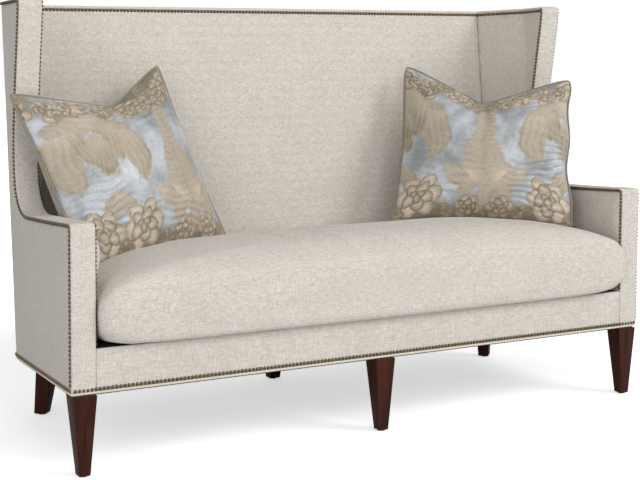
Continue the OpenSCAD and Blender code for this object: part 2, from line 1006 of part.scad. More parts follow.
module dust_cover() {
    color("black")
        difference() {
            translate([0, front_y, frame_z - dust_t])
                linear_extrude(height = dust_t)
                    polygon([
                        [-board_out, front_cover_t], [board_out, front_cover_t],
                        [board_out, bend_in_sum - 2 * board_out],
                        [bend_in_sum - post_out_sum, 2 * post_out_sum - bend_in_sum],
                        [flat_half_w, body_depth - board_t / 2],
                        [-flat_half_w, body_depth - board_t / 2],
                        [post_out_sum - bend_in_sum, 2 * post_out_sum - bend_in_sum],
                        [-board_out, bend_in_sum - 2 * board_out]
                    ]);
            plates(dust_gap, dust_gap);
        }
}

// Legs

// Distance of the front legs from the sides.
front_leg_in = 36;
// Distance of the front leg tops and of the front feet from the arm fronts.
front_leg_y = 28;
front_foot_y = 20;
// Distance of the rear leg tops and of the rear feet from the sides.
rear_leg_in = 145;
rear_foot_in = 125;
// Distance of the rear leg tops and of the rear feet from the back panel.
rear_leg_back = 95;
rear_foot_back = 75;
// The same of the middle rear leg.
middle_leg_back = 35;
middle_foot_back = 11;
// Centres of the front leg tops, from the arm fronts.
front_leg = [half_w - front_leg_in, front_leg_y];
middle_leg = [0, front_leg_y];
// Centres of the front feet.
front_foot = [half_w - front_leg_in, front_foot_y];
middle_foot = [0, front_foot_y];
// Centres of the rear leg tops and feet.
rear_leg = [half_w - rear_leg_in, body_depth - rear_leg_back];
rear_foot = [half_w - rear_foot_in, body_depth - rear_foot_back];
middle_rear_leg_at = [0, body_depth - middle_leg_back];
middle_rear_foot = [0, body_depth - middle_foot_back];

// Corners of a square of side w round p, turned by a.
function square_at(p, w, a, z) = [for (k = [0:3])
    let (r = w / diagonal_share)
    [p[0] + r * cos(a + 45 + 90 * k), front_y + p[1] + r * sin(a + 45 + 90 * k), z]];

module leg(foot, top, foot_w, top_w, turn) {
    difference() {
        polyhedron(
            points = concat(square_at(foot, foot_w, turn, glide_h),
                square_at(top, top_w, turn, leg_top_z)),
            faces = [
                [0, 1, 2, 3], [7, 6, 5, 4],
                [0, 4, 5, 1], [1, 5, 6, 2], [2, 6, 7, 3], [3, 7, 4, 0]
            ]
        );
        bolt_holes(bolt_gap);
    }
}

module right_front_leg() {
    color("saddlebrown")
        leg(front_foot, front_leg, leg_foot_w, leg_top_w, 0);
}

module left_front_leg() {
    color("saddlebrown")
        mirror([1, 0, 0])
            leg(front_foot, front_leg, leg_foot_w, leg_top_w, 0);
}

module middle_front_leg() {
    color("saddlebrown")
        leg(middle_foot, middle_leg, leg_foot_w, leg_top_w, 0);
}

module right_rear_leg() {
    color("saddlebrown")
        leg(rear_foot, rear_leg, rear_foot_w, rear_top_w, 45);
}

module left_rear_leg() {
    color("saddlebrown")
        mirror([1, 0, 0])
            leg(rear_foot, rear_leg, rear_foot_w, rear_top_w, 45);
}

module middle_rear_leg() {
    color("saddlebrown")
        leg(middle_rear_foot, middle_rear_leg_at, rear_foot_w, rear_top_w, 0);
}

module leg_bolts() {
    color("silver")
        bolt_holes(0);
}

// Side of a leg plate.
plate_w = 52;

// Plates over the legs, grown by a gap round and up.
module plates(gap, up) {
    w = plate_w / 2 + gap;
    for (p = [front_leg, [-front_leg[0], front_leg[1]], middle_leg, middle_rear_leg_at])
        translate([p[0] - w, front_y + p[1] - w, leg_top_z - up])
            cube([w * 2, w * 2, plate_t + up * 2]);
    for (s = [-1, 1])
        translate([s * rear_leg[0], front_y + rear_leg[1], leg_top_z - up])
            rotate([0, 0, 45])
                translate([-w, -w, 0])
                    cube([w * 2, w * 2, plate_t + up * 2]);
}

module leg_plates() {
    color("dimgray")
        difference() {
            plates(0, 0);
            bolt_holes(bolt_gap);
        }
}

module leg_glides() {
    color("black")
        for (p = [front_foot, [-front_foot[0], front_foot[1]], middle_foot,
                middle_rear_foot, rear_foot, [-rear_foot[0], rear_foot[1]]])
            translate([p[0], front_y + p[1], 0])
                cylinder(h = glide_h, r = glide_r, $fn = round_facets);
}

// Nail rows

// Level of the centre of the bottom nail row.
nail_z = cover_bottom_z + nail_inset;
// Half of the width of a nail row.
nail_half = nail_w / 2;
// Drop of the top nail row below the top.
top_nail_drop = 13;

module outer_nail_rows() {
    color("darkgoldenrod")
        both() {
            side_plate(half_w, nail_t, placed(concat(
                inset(nail_inset - nail_half, nail_z + nail_half + soft_gap),
                reversed(inset(nail_inset + nail_half, nail_z + nail_half + soft_gap))
            )));
            side_plate(half_w, nail_t, placed([
                [band_end_y, top_z(band_end_y) - nail_inset - nail_half],
                [lean_y(bend_y, overall_height) - nail_w,
                    top_z(lean_y(bend_y, overall_height) - nail_w) - nail_inset - nail_half],
                [lean_y(bend_y, overall_height) - nail_w,
                    top_z(lean_y(bend_y, overall_height) - nail_w) - nail_inset + nail_half],
                [band_end_y, top_z(band_end_y) - nail_inset + nail_half]
            ]));
        }
}

// Level where the inner nail rows start, over the deck.
inner_nail_z = deck_z + nail_half;

module inner_nail_rows() {
    color("darkgoldenrod")
        both()
            intersection() {
                side_plate(arm_in - nail_t, nail_t, placed(concat(
                    inset(nail_inset - nail_half, inner_nail_z),
                    reversed(inset(nail_inset + nail_half, inner_nail_z))
                )));
                column(room(arm_in, inner_corner_y, back_half_w, back_face_y));
                slab(0, overall_height - top_nail_drop - nail_w);
            }
}

module top_nail_row() {
    color("darkgoldenrod")
        intersection() {
            difference() {
                column(room(arm_in, inner_corner_y, back_half_w, back_face_y));
                column(room(arm_in - nail_t, inner_corner_y - nail_t, back_half_w - nail_t,
                    back_face_y - nail_t));
            }
            difference() {
                space(band_end_y - band_t, overall_height / 2, top_nail_drop - nail_half);
                space(-body_depth, -far, top_nail_drop + nail_half);
            }
        }
}

module bottom_nail_row() {
    color("darkgoldenrod")
        union() {
            block([-half_w - nail_t, -nail_t, nail_z - nail_half],
                [half_w + nail_t, 0, nail_z + nail_half]);
            both()
                side_plate(half_w, nail_t, [
                    [front_y, nail_z - nail_half],
                    [front_y + lean_y(bend_y, nail_z) - nail_t, nail_z - nail_half],
                    [front_y + lean_y(bend_y, nail_z) - nail_t, nail_z + nail_half],
                    [front_y, nail_z + nail_half]
                ]);
            both()
                intersection() {
                    column([
                        [half_w - bend_run, cant_y + bend_run], [half_w, bend_y],
                        [half_w + nail_t * corner_share, bend_y + nail_t],
                        [half_w - bend_run + nail_t * bend_x_share,
                            cant_y + bend_run + nail_t * bend_y_share],
                        [flat_half_w + nail_t * corner_share, body_depth + nail_t],
                        [flat_half_w, body_depth]
                    ]);
                    slab(nail_z - nail_half, nail_z + nail_half);
                }
        }
}

// Loose cushions

// Half of the width of the seat cushion.
cushion_half_w = arm_in - loose_gap;
// Depth where the cushion's rear corners start, at the deck.
cushion_corner_y = lean_y(inner_corner_y, deck_z) - loose_gap;
// Depth of the cushion's back, at the deck.
cushion_back_y = lean_y(back_face_y, deck_z) - loose_gap;
// Half of the width of the cushion's back.
cushion_back_half = back_half_w - loose_gap;
// Radius of the cushion's front corners.
cushion_corner_r = 45;
// Distance of the cushion's highest point from its nose.
cushion_peak_in = 200;
// Depth of the cushion's highest point.
cushion_peak_y = cushion_peak_in - nose_y;
// Points along each stretch of the cushion's outline.
cushion_steps = 7;
// Right half of the cushion's outline from the front middle to the back middle.
cushion_half_plan = concat(
    [for (i = [0:cushion_steps - 1])
        let (x = (cushion_half_w - cushion_corner_r) * i / cushion_steps)
        [x, -nose_y + nose_y / 5 * pow(x / cushion_half_w, 2)]],
    [for (i = [0:4])
        let (a = i * 22.5)
        [cushion_half_w - cushion_corner_r * (1 - sin(a)),
            -nose_y * 0.8 + cushion_corner_r * (1 - cos(a))]],
    [for (i = [1:4])
        [cushion_half_w, cushion_corner_y * i / 4]],
    [for (i = [1:2])
        [cushion_half_w + (cushion_back_half - cushion_half_w) * i / 2,
            cushion_corner_y + (cushion_back_y - cushion_corner_y) * i / 2]],
    [for (i = [1:cushion_steps])
        [cushion_back_half * (1 - i / cushion_steps), cushion_back_y]]
);
// Whole outline, without repeated points in the middle.
cushion_plan = concat(
    cushion_half_plan,
    [for (i = [len(cushion_half_plan) - 2:-1:1]) [-cushion_half_plan[i][0], cushion_half_plan[i][1]]]
);
// Number of points in a ring.
ring_count = len(cushion_plan);
// Share of the outline's size and share of the edge height of each ring under the crown.
cushion_ring_shares = [[0.90, 0], [0.975, 0.03], [0.995, 0.16], [1, 0.5], [0.995, 0.84]];
// Share of the outline's size of each ring of the crown.
crown_ring_shares = [0.97, 0.93, 0.86, 0.76, 0.6, 0.4, 0.2];
// Underside of the cushion.
cushion_z = deck_z + soft_gap;

// Point of the outline drawn towards the cushion's highest point.
function drawn(p, s) = [p[0] * s, cushion_peak_y + (p[1] - cushion_peak_y) * s];
// How far back an outline point lies, as a share.
function back_part(p) =
    max(0, min(1, (p[1] - cushion_peak_y) / (cushion_back_y - cushion_peak_y)));
// Height of the crown at a share s of an outline point.
function crown_z(p, s) =
    cushion_edge_z + cushion_crown * (1 - pow(s, 4 - 2.8 * back_part(p)));

// Points of the cushion, ring by ring, and its highest point last.
cushion_points = concat(
    [for (r = cushion_ring_shares) for (p = cushion_plan)
        let (q = drawn(p, r[0]))
        [q[0], front_y + q[1], cushion_z + (cushion_edge_z - cushion_z) * r[1]]],
    [for (s = crown_ring_shares) for (p = cushion_plan)
        let (q = drawn(p, s))
        [q[0], front_y + q[1], crown_z(p, s)]],
    [[0, front_y + cushion_peak_y, cushion_edge_z + cushion_crown]],
    [[0, front_y + cushion_peak_y, cushion_z]]
);
// Number of rings.
level_count = len(cushion_ring_shares) + len(crown_ring_shares);
// Number of the top point.
top_index = level_count * ring_count;

module cushion_form() {
    polyhedron(
        points = cushion_points,
        faces = concat(
            [for (j = [0:level_count - 2]) for (i = [0:ring_count - 1])
                let (a = j * ring_count + i)
                let (b = j * ring_count + (i + 1) % ring_count)
                for (t = [[a, a + ring_count, b], [b, a + ring_count, b + ring_count]]) t],
            [for (i = [0:ring_count - 1])
                [top_index, (level_count - 1) * ring_count + (i + 1) % ring_count,
                    (level_count - 1) * ring_count + i]],
            [for (i = [0:ring_count - 1])
                [top_index + 1, i, (i + 1) % ring_count]]
        )
    );
}

// Distance of the foam core from the cushion's faces.
core_in = 60;
// Height of the foam core.
core_h = 110;

module core_block(gap) {
    block(
        [-(cushion_back_half - core_in) - gap, core_in / 2 - gap, cushion_z + core_in / 2 - gap],
        [cushion_back_half - core_in + gap, cushion_back_y - core_in + gap,
            cushion_z + core_in / 2 + core_h + gap]
    );
}

module seat_cushion() {
    color("wheat")
        difference() {
            cushion_form();
            core_block(soft_gap);
        }
}

module seat_cushion_core() {
    color("gainsboro")
        core_block(0);
}

// Corners of the throw pillows as distance from the side, from the back panel and
// from the cushion's edge: lower left, lower right, upper right, upper left.
left_shape = [[125, -435, 23.3], [615, -280, 32.3], [483, -95, 499], [-16, -308, 432]];
right_shape = [[-595, -245, 32], [-158, -562, 34], [-37, -404, 453], [-469, -88, 493]];
// The same corners as width from the middle, distance from the arm fronts and height.
left_corners = [for (p = left_shape) p + [-half_w, body_depth, cushion_edge_z]];
right_corners = [for (p = right_shape) p + [half_w, body_depth, cushion_edge_z]];
// Cells along a pillow's side.
pillow_steps = 14;
// Share by which the sides are drawn in between the corners.
draw_in_share = 0.055;
// Depth of the dent in a pillow's top.
chop_depth = 70;
// Half thickness of a pillow's rim.
rim_half = 2.5;

// Vector product of unit length.
function facing(a, b) = let (c = cross(a, b)) c / norm(c);
// Middle of four corners.
function middle(c) = (c[0] + c[1] + c[2] + c[3]) / 4;
// Direction across the pillow, out of its front.
function out_of(c) = facing(c[2] - c[3] + c[1] - c[0], c[3] - c[0] + c[2] - c[1]);
// Point of the pillow's middle sheet at u and v from -1 to 1.
function sheet_point(c, u, v) =
    let (p = (1 + u * (1 - draw_in_share * (1 - v * v))) / 2)
    let (q = (1 + v * (1 - draw_in_share * (1 - u * u))) / 2)
    (c[0] * (1 - p) + c[1] * p) * (1 - q) + (c[3] * (1 - p) + c[2] * p) * q
        - (c[3] - c[0]) / norm(c[3] - c[0]) * chop_depth
            * exp(-7 * u * u) * pow((1 + v) / 2, 3) * (1 - pow(u, 4));
// Half thickness of the pillow at u and v.
function fullness(u, v) =
    rim_half + pillow_half_t * pow(max(0, (1 - u * u) * (1 - v * v)), 0.6);
// Steps from -1 to 1 that are closer at the edges.
function step(i) = sin(90 * (2 * i / pillow_steps - 1));
// Share by which the filled sheet stops short of the welt.
sheet_share = 0.967;

// Points of the front face, then of the back face.
function pillow_points(c) = concat(
    [for (j = [0:pillow_steps]) for (i = [0:pillow_steps])
        let (u = step(i) * sheet_share)
        let (v = step(j) * sheet_share)
        sheet_point(c, u, v) + out_of(c) * fullness(step(i), step(j))],
    [for (j = [0:pillow_steps]) for (i = [0:pillow_steps])
        let (u = step(i) * sheet_share)
        let (v = step(j) * sheet_share)
        sheet_point(c, u, v) - out_of(c) * fullness(step(i), step(j))]
);
// Number of points in a row and on a face.
row_count = pillow_steps + 1;
face_count = row_count * row_count;
// Point numbers round the rim of a face.
rim = concat(
    [for (i = [0:pillow_steps - 1]) i],
    [for (j = [0:pillow_steps - 1]) j * row_count + pillow_steps],
    [for (i = [pillow_steps:-1:1]) pillow_steps * row_count + i],
    [for (j = [pillow_steps:-1:1]) j * row_count]
);

module pillow(c) {
    polyhedron(
        points = placed3(pillow_points(c)),
        faces = concat(
            [for (j = [0:pillow_steps - 1]) for (i = [0:pillow_steps - 1])
                let (a = j * row_count + i)
                for (t = [[a, a + row_count, a + 1], [a + 1, a + row_count, a + row_count + 1]]) t],
            [for (j = [0:pillow_steps - 1]) for (i = [0:pillow_steps - 1])
                let (a = face_count + j * row_count + i)
                for (t = [[a, a + 1, a + row_count], [a + 1, a + row_count + 1, a + row_count]]) t],
            [for (k = [0:len(rim) - 1])
                let (a = rim[k])
                let (b = rim[(k + 1) % len(rim)])
                for (t = [[a, b, a + face_count], [b, b + face_count, a + face_count]]) t]
        )
    );
}

// Space points moved to their place in depth.
function placed3(p) = [for (q = p) q + [0, front_y, 0]];

// Sides of the welt's section.
welt_facets = 6;
// Points of a pillow's rim at the middle sheet, in order round it.
function rim_line(c) = [for (k = rim)
    sheet_point(c, step(k % row_count), step(floor(k / row_count)))];

// Points of a closed tube round a line that lies about in the plane facing n.
function tube_points(line, n, r) = [for (k = [0:len(line) - 1])
    let (a = line[(k + len(line) - 1) % len(line)])
    let (b = line[(k + 1) % len(line)])
    let (along = (b - a) / norm(b - a))
    let (out = facing(along, n))
    for (s = [0:welt_facets - 1])
        line[k] + out * r * cos(360 * s / welt_facets) + n * r * sin(360 * s / welt_facets)];

module closed_tube(points, rings) {
    polyhedron(
        points = points,
        faces = [for (k = [0:rings - 1]) for (s = [0:welt_facets - 1])
            let (a = k * welt_facets)
            let (b = ((k + 1) % rings) * welt_facets)
            let (t = (s + 1) % welt_facets)
            for (f = [[a + s, a + t, b + s], [a + t, b + t, b + s]]) f]
    );
}

module pillow_welt(c) {
    closed_tube(placed3(tube_points(rim_line(c), out_of(c), pillow_welt_r)), len(rim));
}

module left_pillow() {
    color("lightsteelblue")
        pillow(left_corners);
}

module right_pillow() {
    color("lightsteelblue")
        pillow(right_corners);
}

module left_pillow_welt() {
    color("rosybrown")
        pillow_welt(left_corners);
}

module right_pillow_welt() {
    color("rosybrown")
        pillow_welt(right_corners);
}

front_seat_rail();
back_seat_rail();
left_seat_rail();
right_seat_rail();
seat_stretchers();
corner_blocks();
front_posts();
arm_rails();
left_wing_board();
right_wing_board();
left_corner_post();
right_corner_post();
back_top_rail();
back_tack_rail();
back_uprights();
seat_springs();
spring_clips();
front_edge_strip();
deck_pad();
deck_cover();
front_rail_cover();
left_arm_pad();
right_arm_pad();
left_wing_pad();
right_wing_pad();
inside_arm_covers();
inside_wing_covers();
back_webbing();
back_foam();
inside_back_cover();
outside_back_panel();
left_outside_panel();
right_outside_panel();
corner_panels();
left_front_band();
right_front_band();
top_band();
bottom_welt();
dust_cover();
left_front_leg();
middle_front_leg();
right_front_leg();
left_rear_leg();
middle_rear_leg();
right_rear_leg();
leg_bolts();
leg_plates();
leg_glides();
outer_nail_rows();
inner_nail_rows();
top_nail_row();
bottom_nail_row();
seat_cushion();
seat_cushion_core();
left_pillow();
left_pillow_welt();
right_pillow();
right_pillow_welt();
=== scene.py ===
import bpy
import math
import numpy as np
from mathutils import Matrix, Quaternion, Vector


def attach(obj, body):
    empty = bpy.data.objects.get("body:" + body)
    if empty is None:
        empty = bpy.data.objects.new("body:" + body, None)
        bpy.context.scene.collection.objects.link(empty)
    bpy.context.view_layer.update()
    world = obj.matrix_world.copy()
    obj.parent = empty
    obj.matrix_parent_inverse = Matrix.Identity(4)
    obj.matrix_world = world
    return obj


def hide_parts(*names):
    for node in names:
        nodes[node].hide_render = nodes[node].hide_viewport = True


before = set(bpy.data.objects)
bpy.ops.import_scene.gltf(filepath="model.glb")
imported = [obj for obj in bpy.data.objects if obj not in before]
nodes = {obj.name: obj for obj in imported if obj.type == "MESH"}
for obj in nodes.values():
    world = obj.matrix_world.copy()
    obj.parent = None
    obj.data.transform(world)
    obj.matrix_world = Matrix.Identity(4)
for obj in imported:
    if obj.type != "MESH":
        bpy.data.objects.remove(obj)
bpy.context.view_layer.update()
scene = bpy.context.scene
scene.view_settings.view_transform = "Standard"


# Camera. It stands before the left arm, above the seat, and looks up the length of the settee as the photograph
# does. The horizon lies above the middle of the picture, so the lens is shifted down a little.
camera_turn = math.radians(29.068)
camera_tilt = math.radians(-4.075)
camera_roll = math.radians(0.365)
bpy.ops.object.camera_add(location=(-2.0441, -3.6810, 1.1237))
camera = bpy.context.object
ahead = Vector((math.sin(camera_turn) * math.cos(camera_tilt),
                math.cos(camera_turn) * math.cos(camera_tilt), math.sin(camera_tilt)))
camera.rotation_euler = (ahead.to_track_quat("-Z", "Y") @ Quaternion((0, 0, 1), camera_roll)).to_euler()
camera.data.lens = 78.93
camera.data.sensor_width = 36
camera.data.shift_y = -0.1719
scene.camera = camera


# Studio. A white floor that keeps the soft grey shadow, white all round for the camera, a large soft key lamp high
# on the right of the front, a second one nearly straight ahead and a weaker one low on the left.
def rgb(code):
    """A hexadecimal colour as the linear one that nodes take."""
    parts = [int(code[i:i + 2], 16) / 255 for i in (1, 3, 5)]
    return tuple(p / 12.92 if p < 0.04045 else ((p + 0.055) / 1.055) ** 2.4 for p in parts) + (1,)


def add(tree, kind, sockets, **options):
    """One shader node; sockets holds its inputs by name or number, as values or other nodes' outputs."""
    new = tree.nodes.new("ShaderNode" + kind)
    for name, value in options.items():
        setattr(new, name, value)
    for name, value in sockets.items():
        if isinstance(value, bpy.types.NodeSocket):
            tree.links.new(value, new.inputs[name])
        else:
            new.inputs[name].default_value = value
    return new


def blank(name):
    """A new material with its node tree and its shader."""
    material = bpy.data.materials.new(name)
    material.use_nodes = True
    return material, material.node_tree, material.node_tree.nodes["Principled BSDF"]


bpy.ops.object.select_all(action="DESELECT")
bpy.ops.mesh.primitive_plane_add(size=40)
floor = bpy.context.object
floor.name = "studio_floor"
paper, tree, shader = blank("studio_paper")
shader.inputs["Base Color"].default_value = rgb("#F1F1F2")
shader.inputs["Roughness"].default_value = 0.9
shader.inputs["Specular IOR Level"].default_value = 0.1
# For the camera the paper turns to plain white a few metres away, so that no edge shows against the white round it
grey_within, white_beyond = 1.15, 2.7
near_glow, far_glow = 0.58, 1.2
seen = add(tree, "LightPath", {}).outputs["Is Camera Ray"]
away = add(tree, "VectorMath", {0: add(tree, "TexCoord", {}).outputs["Object"]}, operation="LENGTH").outputs["Value"]
far = add(tree, "MapRange", {"Value": away, "From Min": grey_within, "From Max": white_beyond,
                             "To Min": near_glow, "To Max": far_glow}, interpolation_type="SMOOTHSTEP")
lift = add(tree, "Math", {0: seen, 1: far.outputs[0]}, operation="MULTIPLY").outputs[0]
shader.inputs["Emission Color"].default_value = (1, 1, 1, 1)
tree.links.new(lift, shader.inputs["Emission Strength"])
floor.data.materials.append(paper)

# Name, place, aim, size in metres, power in watts and colour of each lamp
for name, place, aim, size, power, warmth in (
        ("key", (5.2, -5.0, 5.2), (0.1, 0.1, 0.5), 3.6, 305, (1, 0.985, 0.97)),
        ("front", (-0.8, -6.4, 4.6), (0, 0, 0.5), 4.4, 155, (0.99, 0.99, 1)),
        ("side", (-5.0, -4.2, 2.6), (0, 0, 0.6), 3.6, 112, (0.985, 0.985, 1))):
    bpy.ops.object.light_add(type="AREA", location=place)
    lamp = bpy.context.object
    lamp.name = "studio_" + name
    lamp.data.size = size
    lamp.data.energy = power
    lamp.data.color = warmth
    lamp.rotation_euler = (Vector(aim) - Vector(place)).to_track_quat("-Z", "Y").to_euler()

# The world is white to the camera and in reflections, and a weak even light otherwise
ambient = 0.28
world = bpy.data.worlds.new("studio_white")
world.use_nodes = True
scene.world = world
tree = world.node_tree
path = add(tree, "LightPath", {})
white = add(tree, "Math", {0: path.outputs["Is Camera Ray"], 1: path.outputs["Is Glossy Ray"]}, operation="MAXIMUM")
white = add(tree, "Math", {0: white.outputs[0], 1: path.outputs["Is Transmission Ray"]}, operation="MAXIMUM")
level = add(tree, "MapRange", {"Value": white.outputs[0], "To Min": ambient, "To Max": 1.0})
tree.nodes["Background"].inputs["Color"].default_value = (1, 1, 1, 1)
tree.links.new(level.outputs[0], tree.nodes["Background"].inputs["Strength"])


# Frame. Rails, posts, arm rails, wing boards and the back's uprights are sawn poplar, glued and dowelled with
# corner blocks. It is all under the covers and shows only from below.
frame_wood = ("front_seat_rail", "back_seat_rail", "left_seat_rail", "right_seat_rail", "seat_stretchers",
              "corner_blocks", "front_posts", "arm_rails", "left_wing_board", "right_wing_board",
              "left_corner_post", "right_corner_post", "back_top_rail", "back_tack_rail", "back_uprights")
# The wood's pores are half a millimetre wide
pore_wide, pore_long = 0.00053, 0.0143


def grained(name, pale, dark, ring, roughness, shine=0.3):
    """Wood sawn along the grain: ring is the width in metres of a year's growth on the face. Its figure runs on for
    fourteen such widths along the grain."""
    material, tree, shader = blank(name)
    place = add(tree, "TexCoord", {}).outputs["Object"]
    long = add(tree, "Mapping", {"Vector": place, "Scale": (1 / ring, 1 / ring, 0.07 / ring)})
    grain = add(tree, "TexNoise", {"Vector": long.outputs[0], "Scale": 0.5, "Detail": 4, "Distortion": 0.6})
    pores = add(tree, "Mapping", {"Vector": place, "Scale": (1 / pore_wide, 1 / pore_wide, 1 / pore_long)})
    pore = add(tree, "TexNoise", {"Vector": pores.outputs[0], "Scale": 1, "Detail": 1})
    both = add(tree, "Math", {0: pore.outputs["Fac"], 1: 0.35, 2: grain.outputs["Fac"]}, operation="MULTIPLY_ADD")
    tone = add(tree, "MapRange", {"Value": both.outputs[0], "From Min": 0.5, "From Max": 0.85})
    mix = add(tree, "Mix", {0: tone.outputs[0], 6: rgb(dark), 7: rgb(pale)}, data_type="RGBA")
    tree.links.new(mix.outputs[2], shader.inputs["Base Color"])
    bump = add(tree, "Bump", {"Height": pore.outputs["Fac"], "Distance": 0.0002, "Strength": 0.4})
    tree.links.new(bump.outputs[0], shader.inputs["Normal"])
    shader.inputs["Roughness"].default_value = roughness
    shader.inputs["Specular IOR Level"].default_value = shine
    return material


def dress(names, material):
    """Puts the material on CAD nodes that keep their own mesh."""
    for name in names:
        for place in nodes[name].material_slots:
            place.material = material


# Pale and a little green, with a dull sawn face
poplar = grained("sawn_poplar", "#CDBB93", "#A98F60", 0.006, 0.8)
dress(frame_wood, poplar)


# Seat suspension. Nine zigzag springs of oiled steel wire hang in clips between the rails, and the front ones are
# joined by an edge strip. The back is strung with jute webbing.
def steel(name, colour, roughness, spots):
    """Bare or plated steel with a faintly stained face; spots is the stains' size in metres."""
    material, tree, shader = blank(name)
    place = add(tree, "TexCoord", {}).outputs["Object"]
    stain = add(tree, "TexNoise", {"Vector": place, "Scale": 1 / spots, "Detail": 3})
    mix = add(tree, "Mix", {0: stain.outputs["Fac"], 6: rgb(colour), 7: tuple(c * 0.6 for c in rgb(colour)[:3]) + (1,)},
              data_type="RGBA")
    tree.links.new(mix.outputs[2], shader.inputs["Base Color"])
    dull = add(tree, "MapRange", {"Value": stain.outputs["Fac"], "To Min": roughness - 0.1, "To Max": roughness + 0.15})
    tree.links.new(dull.outputs[0], shader.inputs["Roughness"])
    shader.inputs["Metallic"].default_value = 1
    return material


dress(("seat_springs",), steel("spring_steel", "#8A8782", 0.4, 0.02))
dress(("spring_clips",), steel("clip_steel", "#A9A7A0", 0.35, 0.01))
dress(("leg_bolts",), steel("bolt_steel", "#B4B2AC", 0.3, 0.004))
dress(("leg_plates",), steel("plate_steel", "#A19E98", 0.4, 0.012))


def woven(name, pale, dark, pitch):
    """Plain cloth of even yarns; pitch is the distance between yarns in metres."""
    material, tree, shader = blank(name)
    place = add(tree, "TexCoord", {}).outputs["Object"]
    turns = add(tree, "VectorMath", {0: place, "Scale": 2 * math.pi / pitch}, operation="SCALE")
    waves = add(tree, "VectorMath", {0: turns.outputs[0]}, operation="SINE")
    yarn = add(tree, "VectorMath", {0: waves.outputs[0], 1: (1, 1, 1)}, operation="DOT_PRODUCT")
    slub = add(tree, "TexNoise", {"Vector": place, "Scale": 0.25 / pitch, "Detail": 3})
    tone = add(tree, "Math", {0: yarn.outputs["Value"], 1: 0.12, 2: slub.outputs["Fac"]}, operation="MULTIPLY_ADD")
    mix = add(tree, "Mix", {0: tone.outputs[0], 6: rgb(dark), 7: rgb(pale)}, data_type="RGBA")
    tree.links.new(mix.outputs[2], shader.inputs["Base Color"])
    bump = add(tree, "Bump", {"Height": yarn.outputs["Value"], "Distance": 0.0004, "Strength": 0.4})
    tree.links.new(bump.outputs[0], shader.inputs["Normal"])
    shader.inputs["Roughness"].default_value = 0.9
    shader.inputs["Specular IOR Level"].default_value = 0.2
    return material


# Jute: coarse, golden and hairy
jute = woven("jute_webbing", "#B99B66", "#8C6F42", 0.004)
dress(("back_webbing", "front_edge_strip"), jute)


# Fillings. The seat's deck, the arms, wings and back are padded with polyester felt and foam under the covers. It
# is white and fluffy, and only a cut cover would show it.
def flecked(name, dark, pale, size, detail, roughness, depth=0, strength=0):
    """A colour that varies between two in flecks of this size; depth and strength are its bump's, if it has one."""
    material, tree, shader = blank(name)
    place = add(tree, "TexCoord", {}).outputs["Object"]
    fleck = add(tree, "TexNoise", {"Vector": place, "Scale": 1 / size, "Detail": detail}).outputs["Fac"]
    mix = add(tree, "Mix", {0: fleck, 6: rgb(dark), 7: rgb(pale)}, data_type="RGBA")
    tree.links.new(mix.outputs[2], shader.inputs["Base Color"])
    if depth:
        bump = add(tree, "Bump", {"Height": fleck, "Distance": depth, "Strength": strength})
        tree.links.new(bump.outputs[0], shader.inputs["Normal"])
    shader.inputs["Roughness"].default_value = roughness
    return material, shader


felt, shader = flecked("polyester_felt", "#D9D6CF", "#F2F0EB", 0.00385, 4, 0.95, 0.001, 0.6)
shader.inputs["Subsurface Weight"].default_value = 0.1
dress(("deck_pad", "back_foam", "left_arm_pad", "right_arm_pad", "left_wing_pad", "right_wing_pad",
       "seat_cushion_core"), felt)


# Covers. One linen tweed in oatmeal covers the whole settee: a plain weave of slubby yarns in cream, oatmeal and
# grey-brown, stretched over the padding and stapled under the trim.
linen, tree, shader = blank("linen_tweed")
place = add(tree, "TexCoord", {}).outputs["Object"]
# Slubs: thick places a few millimetres wide that run a centimetre or two along each set of yarns
slub_wide, slub_long, slub_weft = 0.0025, 0.0125, 0.0182
yarns = 0.0
for size in ((slub_weft, slub_wide, slub_wide), (slub_wide, slub_long, slub_wide), (slub_wide, slub_wide, slub_long)):
    along = add(tree, "Mapping", {"Vector": place, "Scale": tuple(1 / s for s in size)})
    slub = add(tree, "TexNoise", {"Vector": along.outputs[0], "Scale": 1, "Detail": 2, "Roughness": 0.6})
    yarns = add(tree, "Math", {0: slub.outputs["Fac"], 1: yarns}, operation="ADD").outputs[0]
# Single yarns, one light and one dark to each wave, drawn coarser than the real ones so that a close view shows them
yarn_wave = 0.0034
turns = add(tree, "VectorMath", {0: place, "Scale": 2 * math.pi / yarn_wave}, operation="SCALE")
waves = add(tree, "VectorMath", {0: turns.outputs[0]}, operation="SINE")
threads = add(tree, "VectorMath", {0: waves.outputs[0], 1: (1, 1, 1)}, operation="DOT_PRODUCT").outputs["Value"]
cloth = add(tree, "Math", {0: threads, 1: 0.03, 2: yarns}, operation="MULTIPLY_ADD").outputs[0]
tone = add(tree, "MapRange", {"Value": cloth, "From Min": 1.17, "From Max": 1.83})
mix = add(tree, "Mix", {0: tone.outputs[0], 6: rgb("#BEB8AD"), 7: rgb("#E3DDD5")}, data_type="RGBA")
# Dyed lots differ a little over a hand's breadth
lot_size = 0.111
cloud = add(tree, "TexNoise", {"Vector": place, "Scale": 1 / lot_size, "Detail": 2})
shade = add(tree, "MapRange", {"Value": cloud.outputs["Fac"], "From Min": 0.3, "From Max": 0.7,
                               "To Min": 0.96, "To Max": 1.0})
final = add(tree, "Mix", {0: 1.0, 6: mix.outputs[2], 7: shade.outputs[0]}, data_type="RGBA", blend_type="MULTIPLY")
tree.links.new(final.outputs[2], shader.inputs["Base Color"])
bump = add(tree, "Bump", {"Height": cloth, "Distance": 0.0012, "Strength": 0.35})
tree.links.new(bump.outputs[0], shader.inputs["Normal"])
shader.inputs["Roughness"].default_value = 0.95
shader.inputs["Specular IOR Level"].default_value = 0.15
shader.inputs["Sheen Weight"].default_value = 0.12
shader.inputs["Sheen Roughness"].default_value = 0.6


